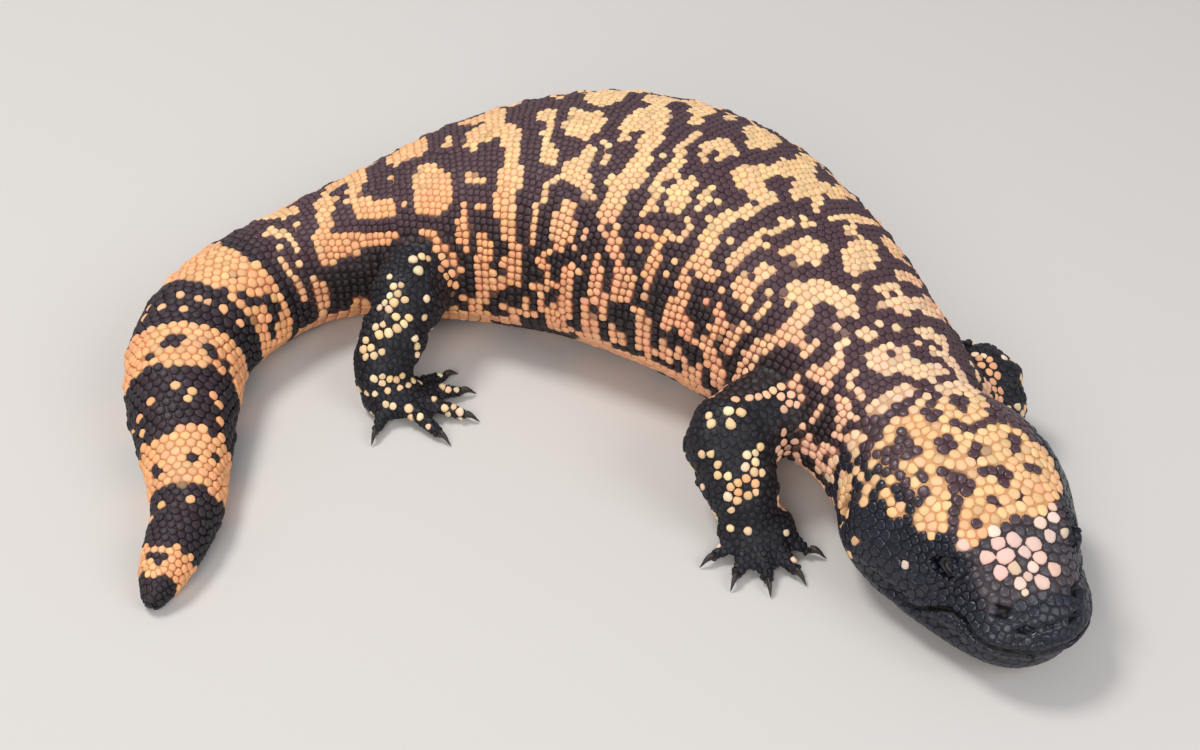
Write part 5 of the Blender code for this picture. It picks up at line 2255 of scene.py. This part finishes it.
    def build(self) -> list[bpy.types.Object]:
        """Builds the pieces of the coat and colours the skin below them.

        Returns:
            The coat's objects.
        """
        seeds = self.plant()
        tints = self.tints(seeds)
        maker = BeadMaker(self.axis, self.head, self.skin)
        s, _ = self.axis.coordinates(seeds.place)
        trunk = within(seeds.region, Region.TRUNK, Region.TAIL)
        pieces = []
        start = -1.0
        for name, end in self.cuts:
            pieces.append((name, trunk & (s >= start) & (s < end), self.finishes.bead, "body_hide"))
            start = end
        head = within(seeds.region, Region.HEAD)
        pieces.append(("plates_head", head, self.finishes.plate, "head_hide"))
        for limb in LIMBS:
            mine = within(seeds.region, limb.region)
            pieces.append(("beads_" + limb.region.value, mine, self.finishes.bead, "limb_hide"))
        made = []
        for name, mine, material, slot in pieces:
            made.append(maker.mesh(name, seeds.take(mine), seeds, tints[mine]))
            finish_piece(made[-1], material)
        self.colour_skin()
        return made

    def colour_skin(self) -> None:
        """Gives the skin the same markings as the beads, darkened with painted shade in the grooves
        between them.
        """
        points = self.skin.points
        regions = self.skin.region
        colour = np.tile(np.array(Tone.INK.value), (len(points), 1))
        body = within(regions, Region.TRUNK, Region.TAIL)
        head = within(regions, Region.HEAD)
        places = points[body]
        colour[body] = self.marks.body_mix(places, self.marks.body_share(places, 0.6))
        places = points[head]
        colour[head] = self.marks.head_mix(places, self.marks.head_share(places, 0.6))
        _, turn = self.axis.coordinates(points)
        # Painted shade between the beads, light on the back and deep on the flank.
        deep = np.where(body, smooth_step(22.0, 60.0, np.abs(turn)), 0.0)
        colour = blend_tones(colour * self.seam_shade_back, colour * self.seam_shade_flank, deep)
        colour[head & ~self.clear_of_openings(points)] *= self.opening_shade
        BeadMaker.paint(self.skin.obj.data, np.maximum(colour, 0.004))


@dataclass
class Eye:
    """One eyeball in its socket, with an upper and a lower lid."""

    head: HeadForm
    side: float
    node: str
    finishes: Finishes
    pupil: tuple = (0.006, 0.005, 0.006)
    iris: tuple = (0.016, 0.010, 0.008)
    lid_colour: tuple = (0.018, 0.014, 0.017)
    lid_thickness: float = 0.72
    lid_reach: float = 2.55
    almond: float = 0.74

    def outward(self) -> np.ndarray:
        """Returns the way the eye looks."""
        aside = self.head.left * self.side
        return unit(self.head.ahead * 0.42 + aside * 0.88 + np.array([0.0, 0.0, 0.22]))

    def centre(self) -> np.ndarray:
        """Returns the middle of the eyeball."""
        forward, out, up = self.head.eye
        return self.head.place(forward, out * self.side, up)

    def build(self) -> bpy.types.Object:
        """Makes the eyeball, with its pupil and iris coloured on it.

        Returns:
            The eyeball's object.
        """
        centre = self.centre()
        work = bmesh.new()
        radius = self.head.eye_radius * MM
        bmesh.ops.create_uvsphere(work, u_segments=32, v_segments=24, radius=radius)
        turn = Vector((0, 0, 1)).rotation_difference(Vector(self.outward()))
        move = Matrix.Translation(Vector(centre * MM)) @ turn.to_matrix().to_4x4()
        bmesh.ops.transform(work, matrix=move, verts=work.verts)
        mesh = mesh_from(work, self.node + "_ball")
        facing = unit(points_of(mesh) - centre) @ self.outward()
        ring = smooth_step(0.55, 0.72, facing) * (1.0 - smooth_step(0.90, 0.94, facing))
        BeadMaker.paint(mesh, blend_tones(self.pupil, self.iris, ring))
        obj = link_mesh(mesh)
        finish_piece(obj, self.finishes.eye, (self.node,))
        return obj

    def lids(self) -> bpy.types.Object:
        """Makes the ring of lid skin round the eye, drawn to an almond.

        Returns:
            The lids' object.
        """
        way = self.outward()
        work = bmesh.new()
        radius = self.lid_thickness * MM
        ring = bmesh.ops.create_circle(work, segments=10, radius=radius)["verts"]
        upright = Matrix.Rotation(math.pi / 2, 3, "X")
        bmesh.ops.rotate(work, verts=ring, cent=(0, 0, 0), matrix=upright)
        bmesh.ops.translate(work, verts=ring, vec=(self.lid_reach * MM, 0, 0))
        bmesh.ops.spin(
            work,
            geom=ring + list(work.edges),
            cent=(0, 0, 0),
            axis=(0, 0, 1),
            angle=2 * math.pi,
            steps=28,
            use_merge=True,
            use_duplicate=False,
        )
        bmesh.ops.remove_doubles(work, verts=work.verts, dist=1e-6)
        for vert in work.verts:
            vert.co.y *= self.almond
        bmesh.ops.recalc_face_normals(work, faces=work.faces)
        third = Vector(way)
        first = Vector((0, 0, 1)).cross(third).normalized()
        second = third.cross(first)
        turn = Matrix((first, second, third)).transposed().to_4x4()
        spot = Vector((self.centre() + way * 1.75) * MM)
        bmesh.ops.transform(work, matrix=Matrix.Translation(spot) @ turn, verts=work.verts)
        mesh = mesh_from(work, self.node + "_lids")
        BeadMaker.paint(mesh, np.tile(self.lid_colour, (len(mesh.vertices), 1)))
        obj = link_mesh(mesh)
        finish_piece(obj, self.finishes.skin)
        return obj


@dataclass
class Claws:
    """Curved horn claws, one for each claw of the frame."""

    limb: Limb
    finishes: Finishes
    stations: int = 7
    around: int = 12

    def build(self) -> list[bpy.types.Object]:
        """Makes the five claws of one foot.

        Returns:
            The claws' objects.
        """
        return [self.claw(f"{self.limb.prefix}_claw_{k}") for k in range(1, 6)]

    def claw(self, node: str) -> bpy.types.Object:
        """Makes one claw by drawing a ring out along a bent, narrowing path.

        Args:
            node: The frame's claw that it stands for.

        Returns:
            The claw's object.
        """
        points = corners_of(node)
        middle = points[:, :2].mean(0)
        way = np.linalg.svd(points[:, :2] - middle)[2][0]
        if way @ (middle - self.limb.sole()) < 0:
            way = -way
        ahead = np.array([way[0], way[1], 0.0])
        side = np.array([-way[1], way[0], 0.0])
        run = points @ ahead
        first = points[run < run.min() + 0.6].mean(0)
        length = run.max() - run.min()
        work = bmesh.new()
        made = bmesh.ops.create_circle(work, segments=self.around, radius=1.0, cap_ends=True)
        base = list(work.faces)[0]
        face = base
        rings = [list(made["verts"])]
        spent = []
        for _ in range(self.stations - 1):
            grown = bmesh.ops.extrude_face_region(work, geom=[face])["geom"]
            if face is not base:
                spent.append(face)
            face = next(item for item in grown if isinstance(item, bmesh.types.BMFace))
            rings.append(list(face.verts))
        bmesh.ops.delete(work, geom=[face for face in spent if face.is_valid], context="FACES_ONLY")
        for k, verts in enumerate(rings):
            f = k / (self.stations - 1)
            radius = 1.25 * (1.0 - f**1.35) ** 0.9 + 0.06
            middle = first + ahead * (length * 0.80 * f - 1.7)
            middle[2] = 2.05 + 0.75 * math.sin(math.pi * min(1.15 * f, 1.0)) - 1.55 * f**1.6
            for j, vert in enumerate(self.in_order(verts)):
                angle = 2 * math.pi * j / self.around
                place = middle + side * radius * 0.66 * math.cos(angle)
                place = place + np.array([0.0, 0.0, radius * math.sin(angle)])
                place[2] = max(place[2], 0.05)
                vert.co = Vector(place * MM)
        bmesh.ops.recalc_face_normals(work, faces=work.faces)
        obj = link_mesh(mesh_from(work, node + "_horn"))
        finish_piece(obj, self.finishes.horn, (node,))
        return obj

    @staticmethod
    def in_order(verts: list) -> list:
        """Returns a ring's points in the order of their own angle."""
        return sorted(verts, key=lambda v: math.atan2(v.co.y, v.co.x))


@dataclass
class Studio:
    """Pale floor, soft lights and the camera at the photograph's angle."""

    camera_place: tuple = (0.0037, -0.3490, 0.2925)
    pitch: float = 50.0
    lens: float = 48.0
    floor_colour: tuple = (0.62, 0.585, 0.55, 1.0)
    glow_colour: tuple = (0.86, 0.92, 1.0, 1.0)
    glow: float = 0.40

    def floor(self) -> None:
        """Lays the plain pale floor."""
        work = bmesh.new()
        bmesh.ops.create_grid(work, x_segments=2, y_segments=2, size=2.5)
        obj = link_mesh(mesh_from(work, "studio_floor", smooth=False))
        pale = {"Base Color": self.floor_colour, "Roughness": 0.85}
        obj.data.materials.append(new_material("floor_pale", pale)[0])

    def light(self, name: str, place: tuple, size: float, power: float, colour: tuple) -> None:
        """Hangs one round soft light that shines on the middle of the floor.

        Args:
            name: The light's name.
            place: Where it hangs, in metres.
            size: Its width in metres.
            power: Its power in watts.
            colour: Its colour.
        """
        data = bpy.data.lights.new(name, "AREA")
        data.shape = "DISK"
        data.size = size
        data.energy = power
        data.color = colour
        obj = bpy.data.objects.new(name, data)
        obj.location = place
        obj.rotation_euler = (-Vector(place)).to_track_quat("-Z", "Y").to_euler()
        bpy.context.scene.collection.objects.link(obj)

    def build(self) -> None:
        """Sets the floor, the lights, the room's glow and the camera."""
        self.floor()
        self.light("key_light", (-0.45, 0.25, 1.0), 0.36, 7.0, (1.0, 0.98, 0.96))
        self.light("fill_light", (0.75, -0.55, 0.75), 0.7, 4.0, (0.93, 0.96, 1.0))
        self.light("front_light", (-0.2, -0.9, 0.6), 0.6, 5.0, (1.0, 0.98, 0.97))
        world = bpy.data.worlds.new("room")
        bpy.context.scene.world = world
        world.use_nodes = True
        back = world.node_tree.nodes["Background"]
        Wiring(world.node_tree).feed(back, {"Color": self.glow_colour, "Strength": self.glow})
        data = bpy.data.cameras.new("camera")
        data.lens = self.lens
        data.sensor_width = 36.0
        data.clip_start = 0.01
        camera = bpy.data.objects.new("camera", data)
        camera.location = self.camera_place
        camera.rotation_euler = (math.radians(self.pitch), 0.0, 0.0)
        bpy.context.scene.collection.objects.link(camera)
        bpy.context.scene.camera = camera
        bpy.context.scene.view_settings.view_transform = "Standard"


def main() -> None:
    """Builds the model over its frame, piece by piece."""
    logging.basicConfig(level=logging.INFO, format="%(message)s")
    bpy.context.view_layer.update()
    axis = BodyAxis()
    head = HeadForm()
    skin = Skin()
    finishes = Finishes()
    finish_piece(skin.build(head), finishes.skin, FLESH)
    marks = Markings(axis, head)
    Coat(axis, head, skin, marks, finishes).build()
    for side, node in ((1.0, "eye_left"), (-1.0, "eye_right")):
        eye = Eye(head, side, node, finishes)
        eye.build()
        eye.lids()
    for limb in LIMBS:
        Claws(limb, finishes).build()
    Studio().build()


if __name__ == "__main__":
    main()
